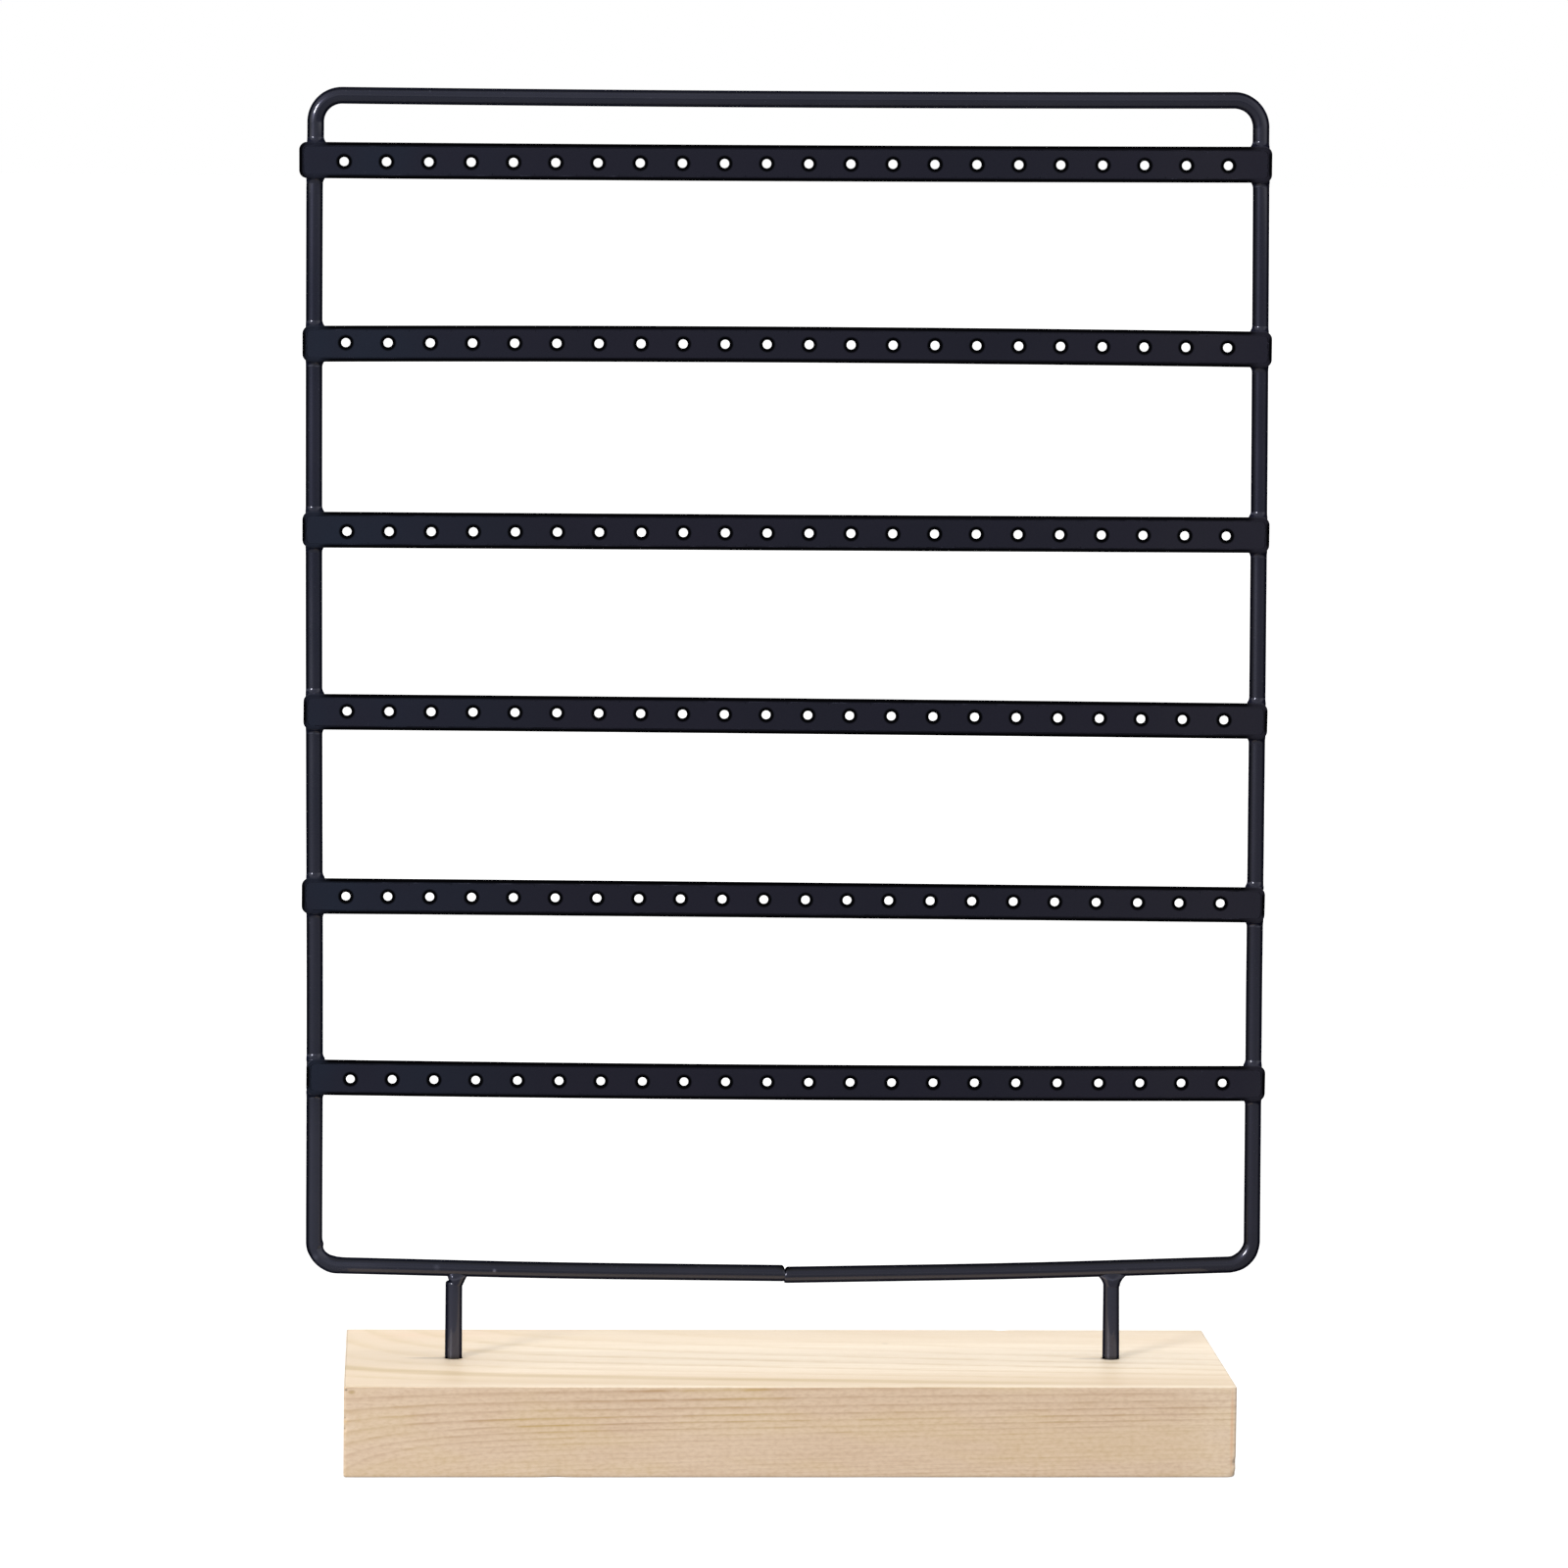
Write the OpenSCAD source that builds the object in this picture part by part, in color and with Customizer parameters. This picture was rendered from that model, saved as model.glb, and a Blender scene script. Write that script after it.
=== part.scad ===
// Earring display stand: a bent steel rod loop on two legs in a pine block,
// with six punched steel strips welded across its front.
// X runs left to right, the front faces -Y, Z is up.
// The origin is at the middle of the block's underside.

/* [Base block] */
// Width of the wooden block, left to right
base_w = 227.5; // [190:0.5:270]
// Depth of the block, front to back
base_d = 80; // [50:1:120]
// Thickness of the block
base_h = 23.4; // [19:0.1:40]
// Radius of the block's four upright edges
base_corner = 1.5; // [0.5:0.1:4]
// Radius sanded on the edges of its top and underside
base_ease = 0.4; // [0.3:0.1:3]

/* [Legs] */
// Distance between the two legs, centre to centre
leg_spacing = 171; // [140:1:190]
// Diameter of a leg rod, paint included
leg_d = 4.2; // [3:0.1:6]
// Depth of the blind hole that holds each leg
leg_hole_depth = 15; // [8:0.5:17]
// Gap all round between a leg and its hole
leg_hole_gap = 0.2; // [0.05:0.05:0.6]
// Distance from a leg's sawn top end to the rod above it, filled by the weld
leg_weld_gap = 1.2; // [0.4:0.1:3]

/* [Rod loop] */
// Diameter of the loop's rod, paint included
rod_d = 4.2; // [3:0.1:6]
// Distance between the uprights at the bottom, centre to centre
frame_w = 243.8; // [215:0.1:280]
// Height from the bottom corners to the top run, centre to centre
frame_h = 301.4; // [290:0.1:340]
// Clear height between the block and the loop's lowest point
frame_lift = 19.75; // [10:0.05:40]
// Bend radius of the two upper corners, at the rod's centre line
bend_r = 7; // [5:0.1:11]
// Bend radius of the two lower corners
low_bend_r = 6.4; // [5:0.1:11]
// Radius of the slight set in each half of the bottom run
sag_r = 3000; // [500:100:4000]
// Chamfer on the two rod ends that meet in the butt joint
end_chamfer = 0.8; // [0.3:0.1:1.2]

/* [Hand fit of the loop] */
// How much narrower the loop is at the top than at the bottom
frame_taper = 1.8; // [0:0.1:6]
// How far the top of the loop leans to the left
frame_lean = 2; // [-4:0.05:4]
// How much higher the top run is at its right end
top_tilt = 1.3; // [-3:0.1:3]
// How much higher the right bottom corner is than the left one
bottom_tilt = 0.6; // [-2:0.1:2]
// How far the bottom corners lie above the butt joint
bottom_dip = 2.45; // [1:0.05:5]
// How far each half of the bottom run sags below a straight line
half_sag = 0.4; // [0.1:0.05:0.8]
// Step in the butt joint, with the right end lower
joint_step = 0.45; // [0:0.05:0.8]

/* [Punched strips] */
// Height of a strip
strip_h = 9.1; // [6:0.1:14]
// Thickness of a strip
strip_t = 1; // [0.8:0.1:3]
// How far a strip reaches past the outside of both uprights at the top of the loop
strip_overhang = 1.1; // [0.6:0.1:4]
// Radius of a strip's corners
strip_corner_r = 2.1; // [0.5:0.1:3]
// Drop from the top run's centre line to the middle of the first strip
first_strip_drop = 16.4; // [15.5:0.1:30]
// Spacing of the strips
strip_pitch = 47.3; // [30:0.1:50]
// Diameter of an earring hole
hole_d = 2.4; // [1.5:0.1:4]
// Spacing of the earring holes
hole_pitch = 10.75; // [6:0.05:20]
// Least distance from a strip's end to the middle of its first hole
hole_margin = 11; // [8:0.1:20]

/* [Welds] */
// How far a strip's weld climbs the upright
weld_rise = 1.5; // [0.5:0.1:2.2]
// How far a strip's weld stands off the upright
weld_proud = 0.9; // [0.3:0.1:1.3]
// How far a leg's weld spreads along the rod beside the leg
leg_weld_spread = 2; // [0.5:0.1:3]
// How far the left leg's weld stops short of that leg's outer side
leg_weld_short = 0.3; // [0.1:0.1:1]
// How far a leg's weld runs down over the leg
leg_weld_wrap = 1; // [0.4:0.1:2]

/* [Hidden] */

// Hand fitting of each strip, top to bottom: its offset up from the even
// spacing, its slide to the right and its tilt down to the right in degrees
strip_up = [0.15, 1.05, 0.4, 0.4, 0.05, 0.1];
strip_slide = [-0.65, -0.3, -0.1, -0.2, -0.6, 0.45];
strip_tilt = [-0.24, -0.17, -0.12, 0.23, 0.24, 0.14];
// How far each strip's row of holes was punched above the strip's middle
row_up = [-0.19, 0.11, -0.22, 0.24, 0.13, 0];

left = -1;
right = 1;
eps = 0.01;
round_faces = 64;
bore_faces = 48;
set_faces = 1440;

rod_r = rod_d / 2;
leg_r = leg_d / 2;
joint_z = base_h + frame_lift + rod_r;
corner_z = joint_z + bottom_dip;
top_z = corner_z + frame_h;

// How deep the two rod ends are fused into each other at the butt joint
joint_fuse = 0.25;
// How much a bend swells the rod's radius, and how far a straight run enters a bend
bend_swell = 0.01;
bend_lap = 0.2;
// Fit of a weld round a rod
weld_fit = 0.01;
// Where the weld metal ends: on a strip's weld out from the upright's centre line and
// in front of it, on a leg's weld below the bottom run's centre line
weld_reach = rod_r + weld_proud;
weld_back = rod_r / 4;
weld_brow = rod_r / 2;
leg_flare_r = leg_r + leg_weld_spread;

// Corners of the loop's centre line as [x, z]
lower_left = [-frame_w / 2, corner_z];
lower_right = [frame_w / 2, corner_z + bottom_tilt];
upper_left = [-(frame_w - frame_taper) / 2 - frame_lean, top_z - top_tilt / 2];
upper_right = [(frame_w - frame_taper) / 2 - frame_lean, top_z + top_tilt / 2];
joint_left = [0, joint_z + joint_step];
joint_right = [0, joint_z];
set_left = (joint_left + lower_left) / 2 - [0, half_sag];
set_right = (joint_right + lower_right) / 2 - [0, half_sag];

// The loop's centre line from one rod end to the other, clockwise from the front,
// and the bend radius at each of its inner points
loop_line = [joint_left, set_left, lower_left, upper_left,
             upper_right, lower_right, set_right, joint_right];
loop_radius = [0, sag_r, low_bend_r, bend_r, bend_r, low_bend_r, sag_r, 0];

strip_back_y = -rod_r;
strip_l = frame_w - frame_taper + rod_d + 2 * strip_overhang;
hole_count = floor((strip_l - 2 * hole_margin) / hole_pitch) + 1;

function mix(a, b, t) = a + (b - a) * t;
function heading(a, b) = atan2(b[1] - a[1], b[0] - a[0]);
// Turn at b on the way from a to c, clockwise positive
function clockwise_turn(a, b, c) = (heading(a, b) - heading(b, c) + 720) % 360;
// Distance from a bend's corner point to the end of the straight run that enters it
function run_stop(i) =
  loop_radius[i] * tan(clockwise_turn(loop_line[i - 1], loop_line[i], loop_line[i + 1]) / 2) - bend_lap;

// Where a straight line through two [x, z] points stands at height z
function x_at(a, b, z) = mix(a[0], b[0], (z - a[1]) / (b[1] - a[1]));
function z_at(a, b, x) = mix(a[1], b[1], (x - a[0]) / (b[0] - a[0]));
function upright_x(side, z) =
  side == left ? x_at(lower_left, upper_left, z) : x_at(lower_right, upper_right, z);
// An upright's lean to the right, in degrees
function upright_lean(side) =
  90 - (side == left ? heading(lower_left, upper_left) : heading(lower_right, upper_right));
function strip_z(i) = top_z - first_strip_drop - i * strip_pitch + strip_up[i];
function strip_x(i) = (upright_x(left, strip_z(i)) + upright_x(right, strip_z(i))) / 2 + strip_slide[i];
// Height of the bottom run's centre line over a leg
function run_z(side) =
  side == left ? z_at(set_left, lower_left, -leg_spacing / 2)
               : z_at(set_right, lower_right, leg_spacing / 2);
function leg_top_z(side) = run_z(side) - rod_r - leg_weld_gap;
// Where a leg's weld starts, to the left of the leg's middle
function leg_weld_start(side) = side == left ? leg_weld_short - leg_r : -leg_flare_r;

// Draws flat work in the XZ plane, thickened towards the front
module upright_plate(thick) {
  rotate([90, 0, 0])
    linear_extrude(thick)
      children();
}

// A rectangle with round corners, centred
module rounded_rect(w, h, r) {
  square([w - 2 * r, h], center = true);
  square([w, h - 2 * r], center = true);
  for (x = [-1, 1], y = [-1, 1])
    translate([x * (w / 2 - r), y * (h / 2 - r)])
      circle(r, $fn = round_faces);
}

// A straight length of rod from a to b in the XZ plane, cut short or run on at its ends
module straight_rod(a, b, start, stop, r = rod_r) {
  upright_axis(a, b)
    translate([0, 0, start])
      cylinder(h = norm(b - a) - start - stop, r = r, $fn = round_faces);
}

// The last straight length, whose chamfered tip is fused into the other rod end at b
module end_rod(a, b, start) {
  reach = norm(b - a);
  upright_axis(a, b)
    rotate_extrude($fn = round_faces)
      polygon([[0, start], [rod_r, start], [rod_r, reach - end_chamfer],
               [rod_r - end_chamfer - joint_fuse, reach + joint_fuse], [0, reach + joint_fuse]]);
}

// A clockwise bend at b, as a slice of a ring
module bend(a, b, c, radius) {
  turn = clockwise_turn(a, b, c);
  back = radius * tan(turn / 2);
  rotate([90, 0, 0])
    translate([b[0], b[1], 0])
      rotate([0, 0, heading(b, c) + 90])
        translate([-radius, -back, 0])
          rotate_extrude(angle = turn, $fn = radius == sag_r ? set_faces : round_faces)
            translate([radius, 0])
              circle(rod_r + bend_swell, $fn = round_faces);
}

// Turns Z to run from a towards b in the XZ plane, starting at a
module upright_axis(a, b) {
  translate([a[0], 0, a[1]])
    rotate([0, 90 - heading(a, b), 0])
      children();
}

// Places its children on an upright's centre line at height z, with Z along it
module on_upright(side, z) {
  translate([upright_x(side, z), 0, z])
    rotate([0, upright_lean(side), 0])
      children();
}

// Places its children at the middle of a strip's back face
module on_strip(i) {
  translate([strip_x(i), strip_back_y, strip_z(i)])
    rotate([0, strip_tilt[i], 0])
      children();
}

module base_block() {
  color("wheat")
    difference() {
      intersection() {
        linear_extrude(base_h)
          rounded_rect(base_w, base_d, base_corner);
        translate([0, base_d / 2, base_h / 2])
          upright_plate(base_d)
            rounded_rect(base_w, base_h, base_ease);
        translate([-base_w / 2, 0, base_h / 2])
          rotate([90, 0, 90])
            linear_extrude(base_w)
              rounded_rect(base_d, base_h, base_ease);
      }
      for (side = [left, right])
        translate([side * leg_spacing / 2, 0, base_h - leg_hole_depth])
          cylinder(h = leg_hole_depth + eps, r = leg_r + leg_hole_gap, $fn = bore_faces);
    }
}

module rod_loop() {
  last = len(loop_line) - 1;
  color([0.16, 0.16, 0.2]) {
    end_rod(loop_line[1], loop_line[0], run_stop(1));
    for (i = [1 : last - 2])
      straight_rod(loop_line[i], loop_line[i + 1], run_stop(i), run_stop(i + 1));
    end_rod(loop_line[last - 1], loop_line[last], run_stop(last - 1));
    for (i = [1 : last - 1])
      bend(loop_line[i - 1], loop_line[i], loop_line[i + 1], loop_radius[i]);
  }
}

module leg(side) {
  color([0.18, 0.18, 0.22])
    translate([side * leg_spacing / 2, 0, base_h - leg_hole_depth])
      cylinder(h = leg_top_z(side) - base_h + leg_hole_depth, r = leg_r, $fn = round_faces);
}

// Weld that joins a leg to the bottom run: a flared plug between the two rods,
// which on the left leg has run to its inner side only
module leg_weld(side) {
  foot_z = leg_top_z(side) - leg_weld_wrap;
  brow_z = run_z(side) - weld_brow;
  flare_h = brow_z - foot_z;
  color([0.18, 0.18, 0.22])
    difference() {
      intersection() {
        translate([side * leg_spacing / 2, 0, foot_z])
          rotate_extrude($fn = round_faces)
            flare_profile(leg_r, leg_flare_r, flare_h);
        translate([side * leg_spacing / 2 + leg_weld_start(side), leg_r, foot_z])
          upright_plate(leg_d)
            square([leg_flare_r - leg_weld_start(side), flare_h]);
      }
      leg(side);
      if (side == left) straight_rod(set_left, lower_left, 0, 0, rod_r + weld_fit);
      else straight_rod(set_right, lower_right, 0, 0, rod_r + weld_fit);
    }
}

// Half section of a trumpet that widens upwards in a hollow curve
module flare_profile(inner_r, outer_r, h) {
  difference() {
    square([outer_r, h]);
    translate([outer_r + h - (outer_r - inner_r), 0])
      circle(h, $fn = round_faces);
  }
}

// Outline of a strip, without its holes
module strip_outline() {
  rounded_rect(strip_l, strip_h, strip_corner_r);
}

module strip(i) {
  color([0.13, 0.13, 0.17])
    on_strip(i)
      upright_plate(strip_t)
        difference() {
          strip_outline();
          for (k = [0 : hole_count - 1])
            translate([(k - (hole_count - 1) / 2) * hole_pitch, row_up[i]])
              circle(d = hole_d, $fn = bore_faces);
        }
}

// Welds over and under both ends of a strip
module strip_welds(i) {
  color([0.18, 0.18, 0.22])
    for (side = [left, right], way = [1, -1])
      strip_weld(i, side, way);
}

// One weld: a cone on the front of the upright that runs out away from the strip
module strip_weld(i, side, way) {
  strip_edge = way * strip_h / 2;
  tilt_drop = tan(strip_tilt[i]) * (upright_x(side, strip_z(i)) - strip_x(i));
  edge_z = strip_z(i) + strip_edge - tilt_drop;
  difference() {
    on_upright(side, edge_z)
      mirror([0, 0, way < 0 ? 1 : 0])
        intersection() {
          union() {
            cylinder(h = weld_rise, r1 = weld_reach, r2 = rod_r, $fn = round_faces);
            translate([0, 0, -strip_corner_r])
              cylinder(h = strip_corner_r, r = weld_reach, $fn = round_faces);
          }
          weld_window(side);
        }
    on_upright(side, edge_z)
      cylinder(h = 2 * (strip_corner_r + weld_rise), r = rod_r + weld_fit, center = true,
               $fn = round_faces);
    on_strip(i)
      translate([0, rod_d, 0])
        upright_plate(rod_d + weld_reach)
          strip_outline();
  }
}

// The space a strip's weld may fill: the front of the upright,
// from its outer side to the weld's reach on its inner side
module weld_window(side) {
  mirror([side == right ? 1 : 0, 0, 0])
    translate([-rod_r, -weld_back - weld_reach, -strip_corner_r])
      cube([rod_r + weld_reach, weld_reach, strip_corner_r + weld_rise]);
}

base_block();
rod_loop();
leg(left);  // left_leg
leg(right);  // right_leg
leg_weld(left);  // left_leg_weld
leg_weld(right);  // right_leg_weld
strip(0);  // strip_1
strip(1);  // strip_2
strip(2);  // strip_3
strip(3);  // strip_4
strip(4);  // strip_5
strip(5);  // strip_6
strip_welds(0);  // strip_1_welds
strip_welds(1);  // strip_2_welds
strip_welds(2);  // strip_3_welds
strip_welds(3);  // strip_4_welds
strip_welds(4);  // strip_5_welds
strip_welds(5);  // strip_6_welds
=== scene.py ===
import bpy
import numpy as np
from mathutils import Matrix, Vector


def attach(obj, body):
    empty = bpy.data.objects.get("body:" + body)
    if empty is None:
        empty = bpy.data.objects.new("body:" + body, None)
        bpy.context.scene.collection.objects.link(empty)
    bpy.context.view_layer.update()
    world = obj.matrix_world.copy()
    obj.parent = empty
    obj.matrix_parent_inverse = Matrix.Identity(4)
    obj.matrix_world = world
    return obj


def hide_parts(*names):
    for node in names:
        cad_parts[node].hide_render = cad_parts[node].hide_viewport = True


# Earring display stand: pine block, bent rod loop on two legs, six punched strips.
# Shapes are worked out in millimetres and put into the meshes in metres.
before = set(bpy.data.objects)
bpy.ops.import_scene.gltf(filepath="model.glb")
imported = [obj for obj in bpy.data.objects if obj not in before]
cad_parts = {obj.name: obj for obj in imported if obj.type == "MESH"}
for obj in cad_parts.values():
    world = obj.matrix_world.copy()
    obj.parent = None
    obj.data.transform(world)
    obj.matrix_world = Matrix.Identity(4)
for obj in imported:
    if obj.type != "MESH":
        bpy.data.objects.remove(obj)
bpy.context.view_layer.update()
scene = bpy.context.scene
mm = 0.001
left, right = -1, 1

cameraView = {
    "place": (-99.13, -1764.77, 356.72),  # mm, from the middle of the block's underside
    "yaw": -3.164,      # degrees, turned to the right
    "pitch": -5.922,    # degrees, looking down
    "roll": -0.644,     # degrees
    "lens": 158.29,     # mm, on a 36 mm sensor
    "sensor": 36.0,
}


# Turn: about Z by yaw, X by pitch and Y by roll, then from "looks along +Y" to Blender's camera axes.
def makeCamera(v):
    data = bpy.data.cameras.new("photoCamera")
    data.lens, data.sensor_width = v["lens"], v["sensor"]
    data.clip_start, data.clip_end = 0.05, 60.0
    camera = bpy.data.objects.new("photoCamera", data)
    scene.collection.objects.link(camera)
    turn = Matrix.Identity(3)
    for axis, angle in (("Z", v["yaw"]), ("X", v["pitch"]), ("Y", v["roll"])):
        turn = turn @ Matrix.Rotation(np.radians(angle), 3, axis)
    turn = turn @ Matrix.Rotation(np.radians(90), 3, "X")
    camera.matrix_world = Matrix.Translation(Vector(v["place"]) * mm) @ turn.to_4x4()
    scene.camera = camera


makeCamera(cameraView)
print("camera placed")


# Quads of a grid of points: (i, j), (i, j+1), (i+1, j+1), (i+1, j), going round where wrapped.
def gridQuads(rows, cols, wrapRows=False, wrapCols=False):
    i = np.arange(rows if wrapRows else rows - 1)[:, None]
    j = np.arange(cols if wrapCols else cols - 1)[None, :]
    ni, nj = (i + 1) % rows, (j + 1) % cols
    quads = np.stack([i * cols + j, i * cols + nj, ni * cols + nj, ni * cols + j], -1)
    return quads.reshape(-1, 4)


# Joins several (points, quads) into one, with the quads' numbers moved up.
def joinShells(parts):
    starts = np.cumsum([0] + [len(points) for points, _ in parts[:-1]])
    moved = [quads + start for (_, quads), start in zip(parts, starts)]
    return np.concatenate([points for points, _ in parts]), np.concatenate(moved)


# Points closer than a tenth of a micron become one. A quad that lost a corner becomes a triangle.
def weldPoints(points, quads):
    _, first, number = np.unique(np.round(points, 4), axis=0, return_index=True, return_inverse=True)
    quads = number.reshape(-1)[quads]
    same = quads == np.roll(quads, -1, axis=1)
    whole = quads[same.sum(1) == 0].tolist()
    for k in range(4):
        short = quads[(same.sum(1) == 1) & same[:, k]]
        whole += np.delete(short, k, axis=1).tolist()
    return first, whole


# Volume enclosed by the faces: the sum of the tetrahedra from the origin. Negative means inside out.
def enclosedVolume(points, quads):
    a, b, c, d = (points[quads[:, k]] for k in range(4))
    return (np.einsum("ij,ij->i", a, np.cross(b, c)) + np.einsum("ij,ij->i", a, np.cross(c, d))).sum() / 6


# Puts a shell of millimetre points into a new mesh object, faces outwards, riding on the frame.
# tone is a number per point that its material reads: below 0 darker, above 0 lighter.
def addPiece(name, points, quads, material, nodes, tone=None):
    if enclosedVolume(points, quads) < 0:
        quads = quads[:, ::-1]
    first, faces = weldPoints(points, quads)
    mesh = bpy.data.meshes.new(name)
    mesh.from_pydata((points[first] * mm).tolist(), [], faces)
    mesh.update()
    mesh.shade_smooth()
    mesh.materials.append(material)
    if tone is not None:
        values = mesh.attributes.new("tone", "FLOAT", "POINT").data
        values.foreach_set("value", tone[first].astype(np.float32))
    piece = bpy.data.objects.new(name, mesh)
    scene.collection.objects.link(piece)
    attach(piece, "root")
    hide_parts(*nodes)
    print(name, len(mesh.polygons), "faces")
    return piece


# A smooth step from 0 at low to 1 at high: 3t^2 - 2t^3, where t is the share of the way, kept in 0 to 1.
def smoothStep(value, low, high):
    t = np.clip((value - low) / (high - low), 0, 1)
    return t * t * (3 - 2 * t)


# A bump: e^(-d^2), with d the distance from the middle in units of the size.
def bumpAt(points, middle, size):
    return np.exp(-((points - np.asarray(middle)) ** 2).sum(-1) / size**2)


def newMaterial(name):
    material = bpy.data.materials.new(name)
    material.use_nodes = True
    tree = material.node_tree
    return material, tree, tree.nodes["Principled BSDF"]


def addNode(tree, kind, **values):
    node = tree.nodes.new(kind)
    for key, value in values.items():
        if hasattr(node, key):
            setattr(node, key, value)
        else:
            node.inputs[key].default_value = value
    return node


# One Math node. Each operand is a number or a socket.
def mathNode(tree, operation, *operands, clamp=False):
    node = tree.nodes.new("ShaderNodeMath")
    node.operation, node.use_clamp = operation, clamp
    for k, operand in enumerate(operands):
        if isinstance(operand, (int, float)):
            node.inputs[k].default_value = operand
        else:
            tree.links.new(operand, node.inputs[k])
    return node.outputs[0]


def sumOf(tree, first, *rest):
    for value in rest:
        first = mathNode(tree, "ADD", first, value)
    return first


def productOf(tree, first, *rest):
    for value in rest:
        first = mathNode(tree, "MULTIPLY", first, value)
    return first


# Mixes two colours, a (1 - f) + b f. Each is a colour or a socket.
def mixColour(tree, factor, a, b):
    node = tree.nodes.new("ShaderNodeMix")
    node.data_type = "RGBA"
    for socket, value in ((node.inputs["Factor"], factor), (node.inputs[6], a), (node.inputs[7], b)):
        if isinstance(value, bpy.types.NodeSocket):
            tree.links.new(value, socket)
        else:
            socket.default_value = (*value, 1)
    return node.outputs[2]


# The three axes of the object's own coordinates, or of another kind of Texture Coordinate.
def axesOf(tree, kind="Object"):
    place = tree.nodes.new("ShaderNodeTexCoord")
    split = tree.nodes.new("ShaderNodeSeparateXYZ")
    tree.links.new(place.outputs[kind], split.inputs[0])
    return split.outputs


# Noise over the object's own coordinates stretched by the three numbers, from 0 to 1.
def noiseAt(tree, stretch, scale, detail, roughness=0.5, shift=(0, 0, 0)):
    place = tree.nodes.new("ShaderNodeTexCoord")
    mapping = addNode(tree, "ShaderNodeMapping", Scale=stretch, Location=shift)
    noise = addNode(tree, "ShaderNodeTexNoise", Scale=scale, Detail=detail, Roughness=roughness)
    tree.links.new(place.outputs["Object"], mapping.inputs["Vector"])
    tree.links.new(mapping.outputs["Vector"], noise.inputs["Vector"])
    return noise.outputs["Fac"]


# Spreads a value between low and high over toLow to toHigh, clamped.
def rangeOf(tree, value, low, high, toLow=0.0, toHigh=1.0, smooth=False):
    node = addNode(tree, "ShaderNodeMapRange")
    if smooth:
        node.interpolation_type = "SMOOTHSTEP"
    for key, number in (("From Min", low), ("From Max", high), ("To Min", toLow), ("To Max", toHigh)):
        node.inputs[key].default_value = number
    tree.links.new(value, node.inputs["Value"])
    return node.outputs["Result"]


# Bump of the given height in metres.
def addBump(tree, shader, height):
    bump = addNode(tree, "ShaderNodeBump", Strength=1.0, Distance=1.0)
    tree.links.new(height, bump.inputs["Height"])
    tree.links.new(bump.outputs["Normal"], shader.inputs["Normal"])


# A soft spot: 1 at the place, 0 from the three radii on, by the stretched distance d: 1 - d^2.
def spotAt(tree, axes, place, radii):
    parts = []
    for axis, middle, radius in zip(axes, place, radii):
        share = productOf(tree, sumOf(tree, axis, -middle), 1 / radius)
        parts.append(mathNode(tree, "POWER", share, 2.0))
    return mathNode(tree, "SUBTRACT", 1.0, sumOf(tree, *parts), clamp=True)


paintLook = {
    # at the left end, from x to x in m along the middle, and at the right end
    "leftColour": (0.0068, 0.0084, 0.0180), "leftFade": (-0.12, -0.01),
    "midColour": (0.0076, 0.0085, 0.0177), "rightFade": (-0.01, 0.10),
    "rightColour": (0.0084, 0.0086, 0.0175),
    "other": (0.0110, 0.0114, 0.0215),     # what it drifts to in places
    "drift": (0.42, 0.7, 0.0, 0.8),        # the slow noise from and to, and that colour's shares there
    "rim": (0.0012, 0.0012, 0.0016),       # painted shade where the tone is below 0: by edges, round holes, on shaded sides
    "rimGloss": 0.06,                      # share of the gloss that is left there
    "speck": (0.118, 0.124, 0.172),        # lighter specks: dust, and painted glints on weld toes and marks
    "dust": 0.16,                          # how strongly the dust shows
    "dustScale": 1500.0, "dustFrom": (0.79, 0.84),      # 1/m, and the noise from and to which a grain shows
    "tint": (0.64, 0.655, 0.98),           # of its gloss
    "specular": 0.44,
    "lacquer": (0.90, 0.065),   # weight and roughness of the smooth top coat that gives the glints
    "grazing": (0.17, 0.37),    # how far off square the gloss starts and ends to fade, as 1 - cosine
    "roughness": (0.23, 0.33),  # least and most, by the slow noise
    "grainScale": 2600.0, "grainHeight": 0.000003,      # 1/m and m, the fine peel of a sprayed coat
    "waveScale": 260.0, "waveHeight": 0.000012,         # the same of its slow unevenness
}
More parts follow.
